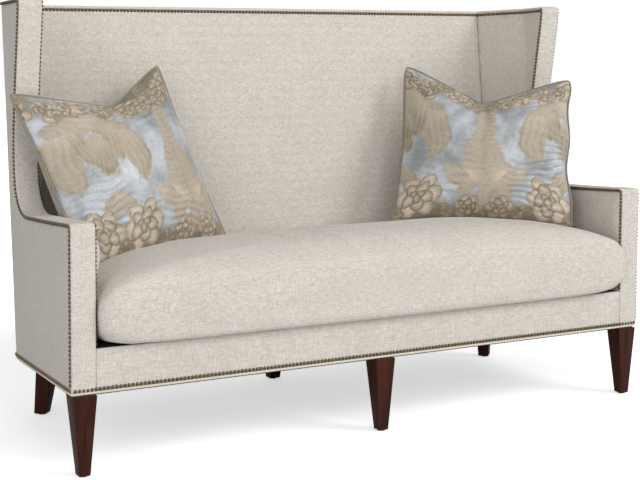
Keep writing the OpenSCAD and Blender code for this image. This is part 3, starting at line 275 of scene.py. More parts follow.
def places(piece):
    """The piece's points as an array."""
    flat = np.empty(len(piece.data.vertices) * 3)
    piece.data.vertices.foreach_get("co", flat)
    return flat.reshape(-1, 3)


def facings(piece):
    """The way each point of the piece faces."""
    flat = np.empty(len(piece.data.vertices) * 3)
    piece.data.vertices.foreach_get("normal", flat)
    return flat.reshape(-1, 3)


def move(piece, points):
    """Puts the piece's points there."""
    piece.data.vertices.foreach_set("co", np.asarray(points, dtype=float).ravel())
    piece.data.update()


def alone(piece):
    """Selects this piece only."""
    bpy.ops.object.select_all(action="DESELECT")
    piece.select_set(True)
    bpy.context.view_layer.objects.active = piece


def stuffed(name, cad, voxel, stretch=(1, 1, 1), rounds=2, material=linen):
    """A padded piece: the solids that it stands for in one skin, with soft edges. Thin ones are stretched for it."""
    bpy.ops.object.select_all(action="DESELECT")
    for source in cad:
        part = bpy.data.objects.new(name, nodes[source].data.copy())
        scene.collection.objects.link(part)
        part.select_set(True)
        bpy.context.view_layer.objects.active = part
    if len(cad) > 1:
        bpy.ops.object.join()
    piece = bpy.context.object
    piece.name = name
    bpy.ops.object.mode_set(mode="EDIT")
    bpy.ops.mesh.select_all(action="SELECT")
    bpy.ops.mesh.remove_doubles(threshold=0.00001)
    bpy.ops.transform.resize(value=stretch, center_override=(0, 0, 0))
    bpy.ops.object.mode_set(mode="OBJECT")
    piece.data.remesh_voxel_size = voxel
    piece.data.remesh_voxel_adaptivity = 0
    bpy.ops.object.voxel_remesh()
    bpy.ops.object.mode_set(mode="EDIT")
    bpy.ops.mesh.select_all(action="SELECT")
    bpy.ops.mesh.vertices_smooth(factor=0.5, repeat=rounds)
    bpy.ops.transform.resize(value=[1 / s for s in stretch], center_override=(0, 0, 0))
    bpy.ops.object.mode_set(mode="OBJECT")
    bpy.ops.object.shade_smooth()
    piece.data.materials.clear()
    piece.data.materials.append(material)
    return piece


def upholster(piece, *cad, fill=0.9, body="settee", slot="linen_tweed"):
    """Fixes a padded piece on its body in place of the solids."""
    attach(piece, body)
    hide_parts(*cad)


def ramp(values, start, end):
    """Nought up to start, one from end on, and in proportion between them."""
    return np.clip((values - start) / (end - start), 0, 1)


# Inside arms and wings. Felt on the boards, 29 mm thick, under covers that are pulled tight to the deck and back.
# Each side's arm and wing meet in one seam at the swoop.
inside_arms = stuffed("inside_arms", ("inside_arm_covers", "left_arm_pad", "right_arm_pad"), 0.008)
# Over the cushion the padding swells towards the seat, most of all near the front, and more on the left arm
swell_foot, swell_top = 0.485, 0.625
swell_front, swell_run = -0.3787, 0.022
left_swell, right_swell = 0.024, 0.008
points, out = places(inside_arms), facings(inside_arms)
high = ramp(points[:, 2], swell_foot, swell_top)
deep = ramp(points[:, 1], swell_front, swell_front + swell_run)
fading = np.clip(1.05 - (points[:, 1] - swell_front) / 0.35, 0.25, 1)
swell = np.where(points[:, 0] < 0, left_swell, right_swell) * np.sin(np.pi * high) ** 0.8 * np.sqrt(deep) * fading
seatward = np.clip(-out[:, 0] * np.sign(points[:, 0]), 0, 1)
points[:, 0] -= np.sign(points[:, 0]) * swell * seatward
move(inside_arms, points)
upholster(inside_arms, "inside_arm_covers", "left_arm_pad", "right_arm_pad")
inside_wings = stuffed("inside_wings", ("inside_wing_covers", "left_wing_pad", "right_wing_pad"), 0.008)
upholster(inside_wings, "inside_wing_covers", "left_wing_pad", "right_wing_pad")


# Inside back. One piece of linen over the foam, tucked in at the wings, without buttons or seams. It leans back
# nearly seven degrees and runs down behind the cushion.
inside_back = stuffed("inside_back", ("inside_back_cover", "back_foam"), 0.010)
upholster(inside_back, "inside_back_cover", "back_foam")


# Outside panels. Linen over thin board on the sides, the canted corners and the back, flush with the bands. They
# are thin, so they are stretched before they get their one skin, and set back after it.
for side in ("left", "right"):
    panel = stuffed(side + "_outside", (side + "_outside_panel",), 0.009, stretch=(4, 1, 1))
    upholster(panel, side + "_outside_panel")
corners = stuffed("outside_corners", ("corner_panels",), 0.009, stretch=(3, 3, 1))
upholster(corners, "corner_panels")
outside_back = stuffed("outside_back", ("outside_back_panel",), 0.012, stretch=(1, 4, 1))
upholster(outside_back, "outside_back_panel")


# Front bands. A padded strip 65 mm wide runs up each arm front, back over the arm and up the swoop and the wing. It
# is 2 mm higher in its middle than at its edges.
def crown(piece, middle, half, rise):
    """Raises the band's outer face between its edges."""
    points, out = places(piece), facings(piece)
    share = 1 - np.clip((np.abs(points[:, 0]) - middle) / half, -1, 1) ** 2
    faces_out = np.clip(0.5 * out[:, 2] - out[:, 1], 0, 1)
    away = out * [0, 1, 1]
    move(piece, points + away * (share * faces_out * rise)[:, None])


for side in ("left", "right"):
    band = stuffed(side + "_band", (side + "_front_band",), 0.0036)
    crown(band, middle=0.8825, half=0.0325, rise=0.0022)
    upholster(band, side + "_front_band")


# Top band. The same strip goes on round the wings' tops, the canted corners and the back. It closes the top of the
# frame and covers the upper edges of the inside and outside covers.
cap = stuffed("top_cap", ("top_band",), 0.0045)
upholster(cap, "top_band")


# Front rail cover. It is flush with the bands and closes the front under the seat, from the deck down to the welt.
# A plain seam parts it from each band.
rail_cover = stuffed("rail_cover", ("front_rail_cover",), 0.004, rounds=3)
upholster(rail_cover, "front_rail_cover")


# Deck. The cloth under the loose cushion is a sateen coloured near black: painted shade for the dark gap under the
# cushion where it shows. It lies over the springs and the deck's padding.
sateen = woven("deck_sateen_painted_shade", "#3B3733", "#272422", 0.0012)
deck = stuffed("seat_deck", ("deck_cover", "deck_pad"), 0.008, material=sateen)
upholster(deck, "deck_cover", "deck_pad", fill=0.7, slot="deck_cloth")


# Dust cover. Black cambric, pulled flat and stapled under the rails all round. It hides the springs from below.
# Its cut size is that of the frame's underside.
cambric = woven("black_cambric", "#2B2A29", "#1B1A1A", 0.0015)
under = stuffed("cambric_bottom", ("dust_cover",), 0.010, stretch=(1, 1, 14), material=cambric)
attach(under, "settee")
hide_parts("dust_cover")


# Base welt. A cord in a cream linen, 6.6 mm thick, goes round under the covers and hides the staples. It follows
# the sides, the eased bends before the canted corners, the corners and the back.
welt_r = 0.0033
welt_z = 0.21475
corner_ease = 0.004
front = -0.38875
right_line = [(0.91335, front + 0.00165), (0.91335, front + 0.4592), (0.8587, front + 0.5693),
              (0.7293, front + 0.6995)]
base_line = right_line + [(-x, y) for x, y in reversed(right_line)]


def cord(name, line, radius, material):
    """A covered cord round a closed line."""
    curve = bpy.data.curves.new(name, "CURVE")
    curve.dimensions = "3D"
    curve.bevel_depth = radius
    curve.bevel_resolution = 3
    spline = curve.splines.new("POLY")
    spline.points.add(len(line) - 1)
    for point, at in zip(spline.points, line):
        point.co = (*at, 1)
    spline.use_cyclic_u = True
    piece = bpy.data.objects.new(name, curve)
    scene.collection.objects.link(piece)
    alone(piece)
    bpy.ops.object.convert(target="MESH")
    piece = bpy.context.object
    bpy.ops.object.shade_smooth()
    piece.data.materials.clear()
    piece.data.materials.append(material)
    return piece


welt_line = []
for (x0, y0), (x1, y1) in zip(base_line, base_line[1:] + base_line[:1]):
    run = math.hypot(x1 - x0, y1 - y0)
    ease = corner_ease / run
    for share in (ease, 0.5, 1 - ease):
        welt_line.append((x0 + (x1 - x0) * share, y0 + (y1 - y0) * share, welt_z))
cream_linen, shader = flecked("cream_welt_linen", "#CFC7B8", "#EFE9DE", 0.00333, 2, 0.9, 0.0006, 0.4)
shader.inputs["Specular IOR Level"].default_value = 0.2
base_welt = cord("base_welt", welt_line, welt_r, cream_linen)
upholster(base_welt, "bottom_welt", fill=1, slot="welt_cord")


# Legs. Six square tapered legs of solid wood, stained to dark walnut and lacquered, screwed to the corner plates.
# Three stand in front, two at the canted corners, turned with them, and one under the middle of the back.
walnut = grained("walnut_stain", "#47241A", "#2C140C", 0.008, 0.38, shine=0.13)
leg_top, leg_foot = 0.2078, 0.003
front_size, front_foot = 0.062, 0.030
rear_size, rear_foot = 0.058, 0.035
edge_ease = 0.0016


def leg(name, top, top_size, foot, foot_size, turn, cad):
    """A square leg from its top's middle and size to its foot's, turned by turn degrees."""
    bpy.ops.object.select_all(action="DESELECT")
    bpy.ops.mesh.primitive_cube_add(size=top_size, location=(*top, leg_top - top_size / 2))
    piece = bpy.context.object
    piece.name = name
    bpy.ops.object.transform_apply(location=True, rotation=True, scale=True)
    bpy.ops.object.mode_set(mode="EDIT")
    bpy.ops.mesh.select_all(action="SELECT")
    bpy.ops.transform.rotate(value=math.radians(turn), orient_axis="Z", center_override=(*top, 0))
    bpy.ops.mesh.select_all(action="DESELECT")
    bpy.ops.object.mode_set(mode="OBJECT")
    for corner in piece.data.vertices:
        corner.select = corner.co.z < leg_top - top_size / 2
    bpy.ops.object.mode_set(mode="EDIT")
    bpy.ops.transform.resize(value=(foot_size / top_size, foot_size / top_size, 1), center_override=(*top, 0))
    bpy.ops.transform.translate(value=(foot[0] - top[0], foot[1] - top[1], leg_foot - (leg_top - top_size)))
    bpy.ops.object.mode_set(mode="OBJECT")
    soft = piece.modifiers.new("eased edges", "BEVEL")
    soft.width = edge_ease
    soft.segments = 3
    bpy.ops.object.modifier_apply(modifier=soft.name)
    bpy.ops.object.shade_smooth_by_angle(angle=math.radians(40))
    piece.data.materials.append(walnut)
    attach(piece, "settee")
    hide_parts(cad)


for side, sign in (("left", -1), ("right", 1)):
    leg(side + "_leg", (sign * 0.879, front + 0.028), front_size, (sign * 0.879, front + 0.020), front_foot, 0,
        side + "_front_leg")
    leg(side + "_back_leg", (sign * 0.770, front + 0.605), rear_size, (sign * 0.790, front + 0.625), rear_foot, 45,
        side + "_rear_leg")
leg("middle_leg", (0, front + 0.028), front_size, (0, front + 0.020), front_foot, 0, "middle_front_leg")
leg("middle_back_leg", (0, front + 0.665), rear_size, (0, front + 0.689), rear_foot, 0, "middle_rear_leg")

# Glides: grey nylon discs pressed into the feet
nylon, shader = flecked("glide_nylon", "#4A4A48", "#6B6A67", 0.002, 3, 0.55)
dress(("leg_glides",), nylon)


# Nail trim. Domed heads of antiqued brass, 9.8 mm wide, are driven every 11 mm along the edges: on the outside of
# each side, along the inside of each band, round the inside under the top and along the base.
head_r = 0.0049
pitch = 0.011
brass, shader = flecked("antique_brass", "#3A3226", "#7C6F56", 0.003125, 2, 0.42)
shader.inputs["Metallic"].default_value = 1

bpy.ops.object.select_all(action="DESELECT")
bpy.ops.mesh.primitive_uv_sphere_add(segments=10, ring_count=8, radius=head_r)
head = bpy.context.object
bpy.ops.object.mode_set(mode="EDIT")
bpy.ops.mesh.select_all(action="SELECT")
bpy.ops.mesh.bisect(plane_co=(0, 0, 0.0002), plane_no=(0, 0, 1), clear_inner=True)
bpy.ops.transform.resize(value=(1, 1, 0.62), center_override=(0, 0, 0))
bpy.ops.object.mode_set(mode="OBJECT")
bpy.ops.object.shade_smooth()
head.data.materials.append(brass)


def nails(name, spots, cad):
    """One row of heads: spots are pairs of a place and the way the head faces."""
    bpy.ops.object.select_all(action="DESELECT")
    for place, out in spots:
        one = bpy.data.objects.new(name, head.data.copy())
        one.data.transform(Matrix.Translation(place) @ Vector(out).to_track_quat("Z", "Y").to_matrix().to_4x4())
        scene.collection.objects.link(one)
        one.select_set(True)
        bpy.context.view_layer.objects.active = one
    bpy.ops.object.join()
    row = bpy.context.object
    row.name = name
    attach(row, "settee")
    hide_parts(cad)


def spaced(line, step):
    """Places along a line of points, step apart as nearly as its length allows."""
    line = [Vector(p) for p in line]
    lengths = [(b - a).length for a, b in zip(line, line[1:])]
    total = sum(lengths)
    count = max(1, round(total / step))
    out, part, gone = [], 0, 0.0
    for i in range(count):
        at = (i + 0.5) * total / count
        while part < len(lengths) - 1 and at > gone + lengths[part]:
            gone += lengths[part]
            part += 1
        out.append(line[part] + (line[part + 1] - line[part]) * ((at - gone) / lengths[part]))
    return out


def bezier(a, b, c, d, count):
    """Points of a curve after its first."""
    out = []
    for i in range(1, count + 1):
        t = i / count
        out.append(tuple(a[k] * (1 - t) ** 3 + 3 * b[k] * t * (1 - t) ** 2 + 3 * c[k] * t * t * (1 - t) + d[k] * t ** 3
                         for k in (0, 1)))
    return out


# Outline of a side in millimetres from the arm's front and the floor
base_z, back_y, back_lean = 205, 700, math.radians(6.7)
top_z, top_fall, wing_top_y = 1205, 0.05, 407.5


def top_at(y):
    """Height of the top, which falls a little to the back."""
    return top_z - top_fall * (y - wing_top_y)


def lean(plan_y, z):
    """How far back a place of the plan is at that height."""
    return back_y + (plan_y - back_y) / math.cos(back_lean) + (z - base_z) * math.tan(back_lean)


outline = [(0, 208), (0, 627.5)]
outline += bezier((0, 627.5), (0, 636.3), (7.2, 643.5), (16, 642.5), 5)
outline += [(174, 632), (348, 622.5)]
outline += bezier((348, 622.5), (444, 621.5), (458.5, 695), (458.5, 792), 24)
outline += bezier((458.5, 792), (460.5, 900), (419.5, 1080), (408.5, 1189), 24)
outline += bezier((408.5, 1189), (408.5, 1197.8), (415.7, 1204.6), (424.5, top_at(424.5)), 5)
outline += [(441.5, top_at(441.5)), (576, top_at(576))]


def beside(line, inside):
    """The line moved sideways, into the settee where inside is above nought."""
    out = []
    for i, p in enumerate(line):
        a, b = line[max(0, i - 1)], line[min(len(line) - 1, i + 1)]
        run = math.hypot(b[0] - a[0], b[1] - a[1])
        out.append((p[0] + (b[1] - a[1]) / run * inside, p[1] - (b[0] - a[0]) / run * inside))
    return out


def real(x, y, z):
    """A place in millimetres from the middle, the arm's front and the floor as metres in the frame."""
    return Vector((x / 1000, front + y / 1000, z / 1000))


# Up the sides, outside and inside: the rows keep one inset from the bands' edges, and start over the base and the deck
inset = 5.5
outer_x, outer_z = 915.2, 233
inner_x, inner_z = 849.8, 331
outer, inner = [], []
edge = beside(outline, inset)
for sign in (-1, 1):
    for spot in spaced([real(sign * outer_x, y, z) for y, z in [(inset, outer_z)] + edge[1:]], pitch):
        outer.append((spot, (sign, 0, 0)))
    for spot in spaced([real(sign * inner_x, y, z) for y, z in [(inset, inner_z)] + edge[1:-3]], pitch):
        inner.append((spot, (-sign, 0, 0)))
nails("outer_nails", outer, "outer_nail_rows")
nails("inner_nails", inner, "inner_nail_rows")

# Under the top the row follows the wings, turns at their seams and crosses the back
drop, wing_start, top_row_z = 13, 421, 1185
inside_top = []
room = []
for plan_x, plan_y in ((850, None), (850, 400), (785, 575), (-785, 575), (-850, 400), (-850, None)):
    y = wing_start if plan_y is None else lean(plan_y, top_row_z)
    room.append(real(plan_x, y, top_at(y) - drop))
for (a, b), out in zip(zip(room, room[1:]), ((-1, 0, 0), (-0.94, -0.34, 0), (0, -1, 0), (0.94, -0.34, 0), (1, 0, 0))):
    for spot in spaced([a, b], pitch):
        inside_top.append((spot, out))
nails("inside_top_nails", inside_top, "top_nail_row")

# Along the base it runs across the front, down each side, over the eased bend and along the canted corner
nail_z = 223.5
base = []
bend, cant, back = lean(460, nail_z), lean(570, nail_z), lean(700, nail_z)
for spot in spaced([real(911, 0, nail_z), real(-911, 0, nail_z)], pitch):
    base.append((spot, (0, -1, 0)))
for sign in (-1, 1):
    for a, b, out in (((915, 4), (915, bend), (sign, 0, 0)), ((915, bend), (860, cant), (sign * 0.894, 0.447, 0)),
                      ((860, cant), (730, back), (sign * 0.707, 0.707, 0))):
        for spot in spaced([real(sign * a[0], a[1], nail_z), real(sign * b[0], b[1], nail_z)], pitch):
            base.append((spot, out))
nails("base_nails", base, "bottom_nail_row")
bpy.data.objects.remove(head)


# Seat cushion. One bench cushion across the seat: a foam core in a thick wrap, in a linen cover without a welt,
# high in the middle and soft along its front.
frames = 20


def puff(piece, pressure, reach, pins=None):
    """Lets the filling press the cover out, as cloth, and holds every point within reach of where it was."""
    before = places(piece)
    cloth = piece.modifiers.new("filling", "CLOTH")
    cloth.settings.quality = 6
    cloth.settings.mass = 0.3
    cloth.settings.tension_stiffness = 12
    cloth.settings.compression_stiffness = 12
    cloth.settings.bending_stiffness = 0.6
    cloth.settings.use_pressure = True
    cloth.settings.uniform_pressure_force = pressure
    cloth.settings.effector_weights.gravity = 0
    if pins is not None:
        group = piece.vertex_groups.new(name="pins")
        group.add([int(i) for i in pins], 1, "REPLACE")
        cloth.settings.vertex_group_mass = "pins"
    cloth.point_cache.frame_start, cloth.point_cache.frame_end = 1, frames
    for number in range(1, frames + 1):
        scene.frame_set(number)
    shaped = piece.evaluated_get(bpy.context.evaluated_depsgraph_get())
    flat = np.empty(len(before) * 3)
    shaped.data.vertices.foreach_get("co", flat)
    step = flat.reshape(-1, 3) - before
    length = np.linalg.norm(step, axis=1, keepdims=True)
    step *= np.minimum(1, reach / np.maximum(length, 1e-9))
    piece.modifiers.remove(cloth)
    scene.frame_set(1)
    move(piece, before + step)


def finer(piece):
    """One level of subdivision."""
    alone(piece)
    fine = piece.modifiers.new("fine", "SUBSURF")
    fine.levels = fine.render_levels = 1
    bpy.ops.object.modifier_apply(modifier=fine.name)


cushion = stuffed("bench_cushion", ("seat_cushion", "seat_cushion_core"), 0.010, rounds=4)
# The top lies a little lower than the solid's, and falls away over the last hand's breadth at each end and to the left
end_fall, all_over, left_fall, right_dip = 0.020, 0.010, 0.012, 0.005
points = places(cushion)
# How near each point is to the ends, the front, the top and the left, as shares of the way
end = ramp(np.abs(points[:, 0]), 0.62, 0.8465)
fore = ramp(-points[:, 1], 0.33, 0.41)
upper = ramp(points[:, 2], 0.40, 0.50)
left = ramp(-points[:, 0], 0.1, 0.6)
dip = np.exp(-((points[:, 0] - 0.6) / 0.15) ** 2)
points[:, 2] -= upper * (end_fall * end ** 2 + all_over + left_fall * left + right_dip * dip)
outward = np.sign(points[:, 0])
# The front corners reach forward, out before the arms' fronts, the right one more, and are lifted at the bottom
corner_fore, corner_out, tip_out, corner_lift = 0.012, 0.008, 0.018, 0.016
points[:, 1] -= corner_fore * end ** 3 * fore * ramp(points[:, 2], 0.33, 0.36)
points[:, 0] += outward * corner_out * end ** 6 * fore
tip = ramp(-points[:, 1], 0.392, 0.412) * end ** 2
points[:, 0] += outward * tip_out * tip * np.where(points[:, 0] < 0, 0.3, 1)
points[:, 2] += corner_lift * end ** 3 * fore * (1 - ramp(points[:, 2], 0.34, 0.40))
move(cushion, points)
puff(cushion, pressure=4.0, reach=0.006)
finer(cushion)
# Three slack creases left of the middle: where each starts on the top, how it slants and how deep it is
crease_from, crease_fade = -0.10, 0.08
points = places(cushion)
for first, slope, depth in ((-0.205, -0.30, 0.005), (-0.135, -0.62, 0.006), (-0.300, -0.15, 0.003)):
    run = np.minimum(points[:, 1], crease_from) - crease_from
    off = points[:, 0] - first - slope * run
    reach = ramp(points[:, 2], 0.43, 0.49) * ramp(-run, 0, crease_fade)
    points[:, 2] += depth * reach * (np.exp(-((off - 0.022) / 0.014) ** 2) - np.exp(-(off / 0.011) ** 2))
move(cushion, points)
upholster(cushion, "seat_cushion", "seat_cushion_core", fill=0.8, body="cushion")


# Throw pillows. Two square pillows in a satin damask, filled with feathers and dented on top by the side of a hand.
# The ground is a pale blue grey satin; palmettes and drooping leaves are woven in dull gold, roses and scrolls in
# cream with thin brown outlines. A taupe cord closes the edge.
cloud_size, thread_size, fleck_size = 0.077, 0.0238, 0.00667
damask, tree, shader = blank("satin_damask")
figure = add(tree, "SeparateXYZ", {"Vector": add(tree, "Attribute", {}, attribute_name="figure").outputs["Vector"]})
tints_and_top_shade = add(tree, "SeparateXYZ", {"Vector": add(tree, "Attribute", {}, attribute_name="tints_and_top_shade").outputs["Vector"]})
bloom = add(tree, "MapRange", {"Value": figure.outputs[1], "From Min": -0.003, "From Max": 0.004}).outputs[0]
place = add(tree, "TexCoord", {}).outputs["Object"]
cloud = add(tree, "TexNoise", {"Vector": place, "Scale": 1 / cloud_size, "Detail": 3}).outputs["Fac"]
painted_sheen_patch = add(tree, "MapRange", {"Value": cloud, "From Min": 0.36, "From Max": 0.62}).outputs[0]
fleck = add(tree, "TexNoise", {"Vector": place, "Scale": 1 / fleck_size, "Detail": 2}).outputs["Fac"]
# The gold fades into the ground at its edges, and in places the ground shows through it
thread = add(tree, "TexNoise", {"Vector": place, "Scale": 1 / thread_size, "Detail": 3}).outputs["Fac"]
gold = add(tree, "Math", {0: thread, 1: 0.04, 2: figure.outputs[0]}, operation="MULTIPLY_ADD").outputs[0]
gold = add(tree, "MapRange", {"Value": gold, "From Min": 0.010, "From Max": 0.030}).outputs[0]
worn = add(tree, "MapRange", {"Value": thread, "From Min": 0.38, "From Max": 0.58, "To Min": 0.80, "To Max": 1.0})
gold = add(tree, "Math", {0: gold, 1: worn.outputs[0]}, operation="MULTIPLY").outputs[0]
# Brown lines round the petals, strong in some places and lost in others
line = add(tree, "Math", {0: figure.outputs[2]}, operation="ABSOLUTE").outputs[0]
line = add(tree, "MapRange", {"Value": line, "From Min": 0.008, "From Max": 0.002}).outputs[0]
line = add(tree, "Math", {0: line, 1: bloom}, operation="MULTIPLY").outputs[0]
pale = add(tree, "MapRange", {"Value": cloud, "From Min": 0.3, "From Max": 0.65, "To Min": 0.95, "To Max": 0.35})
line = add(tree, "Math", {0: line, 1: pale.outputs[0]}, operation="MULTIPLY").outputs[0]
# The satin ground is painted lighter and darker in large soft patches: painted sheen and shade
ground = add(tree, "Mix", {0: painted_sheen_patch, 6: rgb("#8F9495"), 7: rgb("#BFC4C9")}, data_type="RGBA").outputs[2]
# The ground turns taupe at the top and the foot: woven taupe, with painted shade in the top band
ground = add(tree, "Mix", {0: tints_and_top_shade.outputs[0], 6: ground, 7: rgb("#7B7362")}, data_type="RGBA").outputs[2]
brown = add(tree, "Math", {0: tints_and_top_shade.outputs[1], 1: cloud}, operation="MULTIPLY").outputs[0]
brown = add(tree, "MapRange", {"Value": brown, "From Max": 0.6}).outputs[0]
yellow = add(tree, "Mix", {0: brown, 6: rgb("#BDB19C"), 7: rgb("#8C7E64")}, data_type="RGBA").outputs[2]
yellow = add(tree, "Mix", {0: tints_and_top_shade.outputs[2], 6: yellow, 7: rgb("#D6C6B2")}, data_type="RGBA").outputs[2]
# Each petal is darkest along the edge that lies under its neighbour
deep = add(tree, "MapRange", {"Value": figure.outputs[2], "From Max": 0.030}).outputs[0]
deep = add(tree, "Math", {0: deep, 1: cloud, 2: -0.05}, operation="MULTIPLY_ADD").outputs[0]
deep = add(tree, "MapRange", {"Value": deep, "From Max": 0.5}).outputs[0]
cream = add(tree, "Mix", {0: deep, 6: rgb("#A3957F"), 7: rgb("#D2C7B8")}, data_type="RGBA").outputs[2]
woven_in = add(tree, "Mix", {0: gold, 6: ground, 7: yellow}, data_type="RGBA").outputs[2]
woven_in = add(tree, "Mix", {0: bloom, 6: woven_in, 7: cream}, data_type="RGBA").outputs[2]
woven_in = add(tree, "Mix", {0: line, 6: woven_in, 7: rgb("#756855")}, data_type="RGBA").outputs[2]
grey = add(tree, "MapRange", {"Value": fleck, "From Min": 0.35, "From Max": 0.65, "To Min": 0.86, "To Max": 1.0})
final = add(tree, "Mix", {0: 1.0, 6: woven_in, 7: grey.outputs[0]}, data_type="RGBA", blend_type="MULTIPLY")
tree.links.new(final.outputs[2], shader.inputs["Base Color"])
# The figures are ribbed and dull, the ground is smooth and shines. The ribs are drawn coarser than real ones, to show
rib_wave = 0.003
raised = add(tree, "Math", {0: gold, 1: bloom}, operation="MAXIMUM").outputs[0]
dull = add(tree, "MapRange", {"Value": raised, "To Min": 0.36, "To Max": 0.58})
tree.links.new(dull.outputs[0], shader.inputs["Roughness"])
ribs = add(tree, "VectorMath", {0: place, "Scale": 2 * math.pi / rib_wave}, operation="SCALE")
ribs = add(tree, "VectorMath", {0: ribs.outputs[0]}, operation="SINE")
ribs = add(tree, "SeparateXYZ", {"Vector": ribs.outputs[0]}).outputs[2]
height = add(tree, "Math", {0: ribs, 1: 0.25, 2: 1.0}, operation="MULTIPLY_ADD").outputs[0]
height = add(tree, "Math", {0: height, 1: raised}, operation="MULTIPLY").outputs[0]
bump = add(tree, "Bump", {"Height": height, "Distance": 0.0006, "Strength": 0.5})
tree.links.new(bump.outputs[0], shader.inputs["Normal"])
shader.inputs["Sheen Weight"].default_value = 0.2
shader.inputs["Sheen Roughness"].default_value = 0.35

# The cord is covered in plain taupe satin
satin_cord, shader = flecked("taupe_cord", "#6E685B", "#9A9182", 0.00417, 2, 0.6, 0.0008, 0.5)


def cream_petals():
    """The cream figures of half a repeat as overlapping petals, the last on top: middle, turn, length and width."""
    out = []

    def rose(cx, cy, size, first):
        for count, away, long, wide in ((6, 0.62, 0.46, 0.40), (5, 0.36, 0.36, 0.30), (3, 0.14, 0.24, 0.18)):
            for i in range(count):
                turn = first + i * 2 * math.pi / count + away
                out.append((cx + size * away * math.cos(turn), cy + size * away * math.sin(turn), turn,
                            size * long, size * wide))

    def scroll(cx, cy, size, first, way):
        for i in range(6):
            turn = first + way * i * 1.05
            away = size * (1 - i * 0.13)
            out.append((cx + away * 0.55 * math.cos(turn), cy + away * 0.55 * math.sin(turn), turn + way * 0.9,
                        away * 0.58, away * 0.40))

    # Roses in a pair under the palmette, then volutes towards the corner's big rose
    rose(0.085, 0.062, 0.072, 2.6)
    scroll(0.190, 0.030, 0.055, 0.4, -1)
    scroll(0.250, 0.040, 0.045, 2.8, 1)
    rose(0.372, 0.125, 0.130, 0.4)
    scroll(0.480, 0.040, 0.060, 0.6, -1)
    # Crown over the drooping leaves
    scroll(0.320, 0.900, 0.085, 5.6, 1)
    scroll(0.455, 0.905, 0.110, 1.2, -1)
    scroll(0.385, 0.835, 0.075, 3.4, -1)
    # Roses beside the palmette's tip
    rose(0.185, 0.905, 0.088, 0.0)
    rose(0.075, 0.865, 0.072, 0.7)
    scroll(0.250, 0.975, 0.055, 1.0, 1)
    scroll(0.020, 0.955, 0.060, 2.0, 1)
    return out


def damask_figure(s, t):
    """Signed distances in pillow widths, above nought inside: gold figures, cream figures, petals' edges; then how
    taupe the ground is (in the top band partly painted shade), how brown the gold and how rosy."""
    # The loom's drawing is never quite even
    s, t = (s + 0.009 * np.sin(11 * t + 5 * s) + 0.006 * np.sin(29 * t - 17 * s + 1) + 0.003 * np.sin(61 * s + 47 * t),
            t + 0.009 * np.sin(13 * s - 4 * t + 2) + 0.006 * np.sin(31 * s + 19 * t) + 0.003 * np.sin(53 * t - 67 * s))
    x = np.abs(s % 1.0 - 0.5)
    # Palmette: a feathered stem that spreads towards its foot
    width = np.interp(t, (0.14, 0.19, 0.24, 0.30, 0.34, 0.40, 0.48, 0.56, 0.64, 0.70, 0.75, 0.79, 0.82),
                      (0.00, 0.060, 0.105, 0.160, 0.158, 0.130, 0.100, 0.072, 0.058, 0.062, 0.058, 0.035, 0.0))
    feather = np.abs((t * 27 - x * 7) % 1.0 - 0.5) * 0.022 * np.clip((t - 0.28) * 9, 0.25, 1)
    gold = width - feather - x
    vein = 0.30 + 0.20 * np.sin(2 * np.pi * (t * 27 - x * 7)) * np.sin(7 * t + 9 * x) + 0.2 * np.exp(-(x / 0.012) ** 2)
    rosy = np.exp(-((x - 0.10) / 0.07) ** 2 - ((t - 0.25) / 0.05) ** 2)
    # Its tongue and its foot's leaves; then leaves that droop from a lotus, their tips turned to the palmette
    for cx, cy, turn, long, wide, hook, brown in ((0.000, 0.150, 0.00, 0.100, 0.046, 0.0, 0.30),
                                                  (0.112, 0.175, -0.25, 0.082, 0.044, 0.0, 0.30),
                                                  (0.165, 0.240, 1.15, 0.105, 0.052, -2.2, 0.25),
                                                  (0.285, 0.570, 0.10, 0.205, 0.088, 1.1, 0.60),
                                                  (0.395, 0.640, -0.25, 0.130, 0.060, -0.6, 0.80),
                                                  (0.475, 0.560, 0.00, 0.130, 0.050, 0.0, 0.95),
                                                  (0.440, 0.760, 1.25, 0.110, 0.066, 1.0, 0.35),
                                                  (0.330, 0.745, 1.75, 0.080, 0.050, 1.0, 0.50),
                                                  (0.465, 0.270, 0.80, 0.085, 0.052, 1.4, 0.50)):
        a = (x - cx) * math.cos(turn) - (t - cy) * math.sin(turn)
        b = (x - cx) * math.sin(turn) + (t - cy) * math.cos(turn)
        a = a - hook * b * b
        edge = 1 + 0.035 * np.sin(11 * np.arctan2(b / long, a / wide)) - np.hypot(a / wide, b / long)
        inside = edge * wide
        here = inside > np.maximum(gold, 0)
        lines = 0.5 + 0.5 * np.sin(2 * np.pi * a / wide * 2.1)
        vein = np.where(here, np.clip(brown * (0.55 + 0.45 * lines) + 0.75 * np.exp(-inside / 0.007), 0, 1), vein)
        rosy = np.where(here, 0.6 * np.clip(b / long, 0, 1), rosy)
        gold = np.maximum(gold, inside)
    bloom = np.full_like(s, -1.0)
    petal = np.full_like(s, 1.0)
    for cx, cy, turn, long, wide in cream_petals():
        a = (x - cx) * math.cos(turn) + (t - cy) * math.sin(turn)
        b = -(x - cx) * math.sin(turn) + (t - cy) * math.cos(turn)
        inside = (1 - np.hypot(a / long, b / wide)) * wide
        petal = np.where(inside > -0.003, inside, petal)
        bloom = np.maximum(bloom, inside)
    # A taupe band along the top, partly the figure's taupe ground and partly painted shade; and a taupe band along the
    # foot
    taupe = ramp(t + 0.05 * np.sin(13 * x + 1), 0.78, 0.86) * np.clip((0.36 - x) / 0.10, 0.25, 1)
    taupe = np.maximum(taupe, np.clip((0.115 + 0.03 * np.sin(23 * x) - t) / 0.05, 0, 1) * 0.9)
    return gold, bloom, petal, taupe, np.clip(vein, 0, 1), np.clip(rosy, 0, 1)


# Points along an edge; half the thickness; how far the edges draw in between the corners; the faces' share of the
# seam's size and their thickness there; the cord's radius; the height of the creases; the slack that gives the side
# fan its full height
cells = 96
half_t = 0.084
draw_in = 0.055
face_share, seam_t = 0.986, 0.0022
cord_r = 0.0034
crease_t = 0.0028
full_slack = 0.005


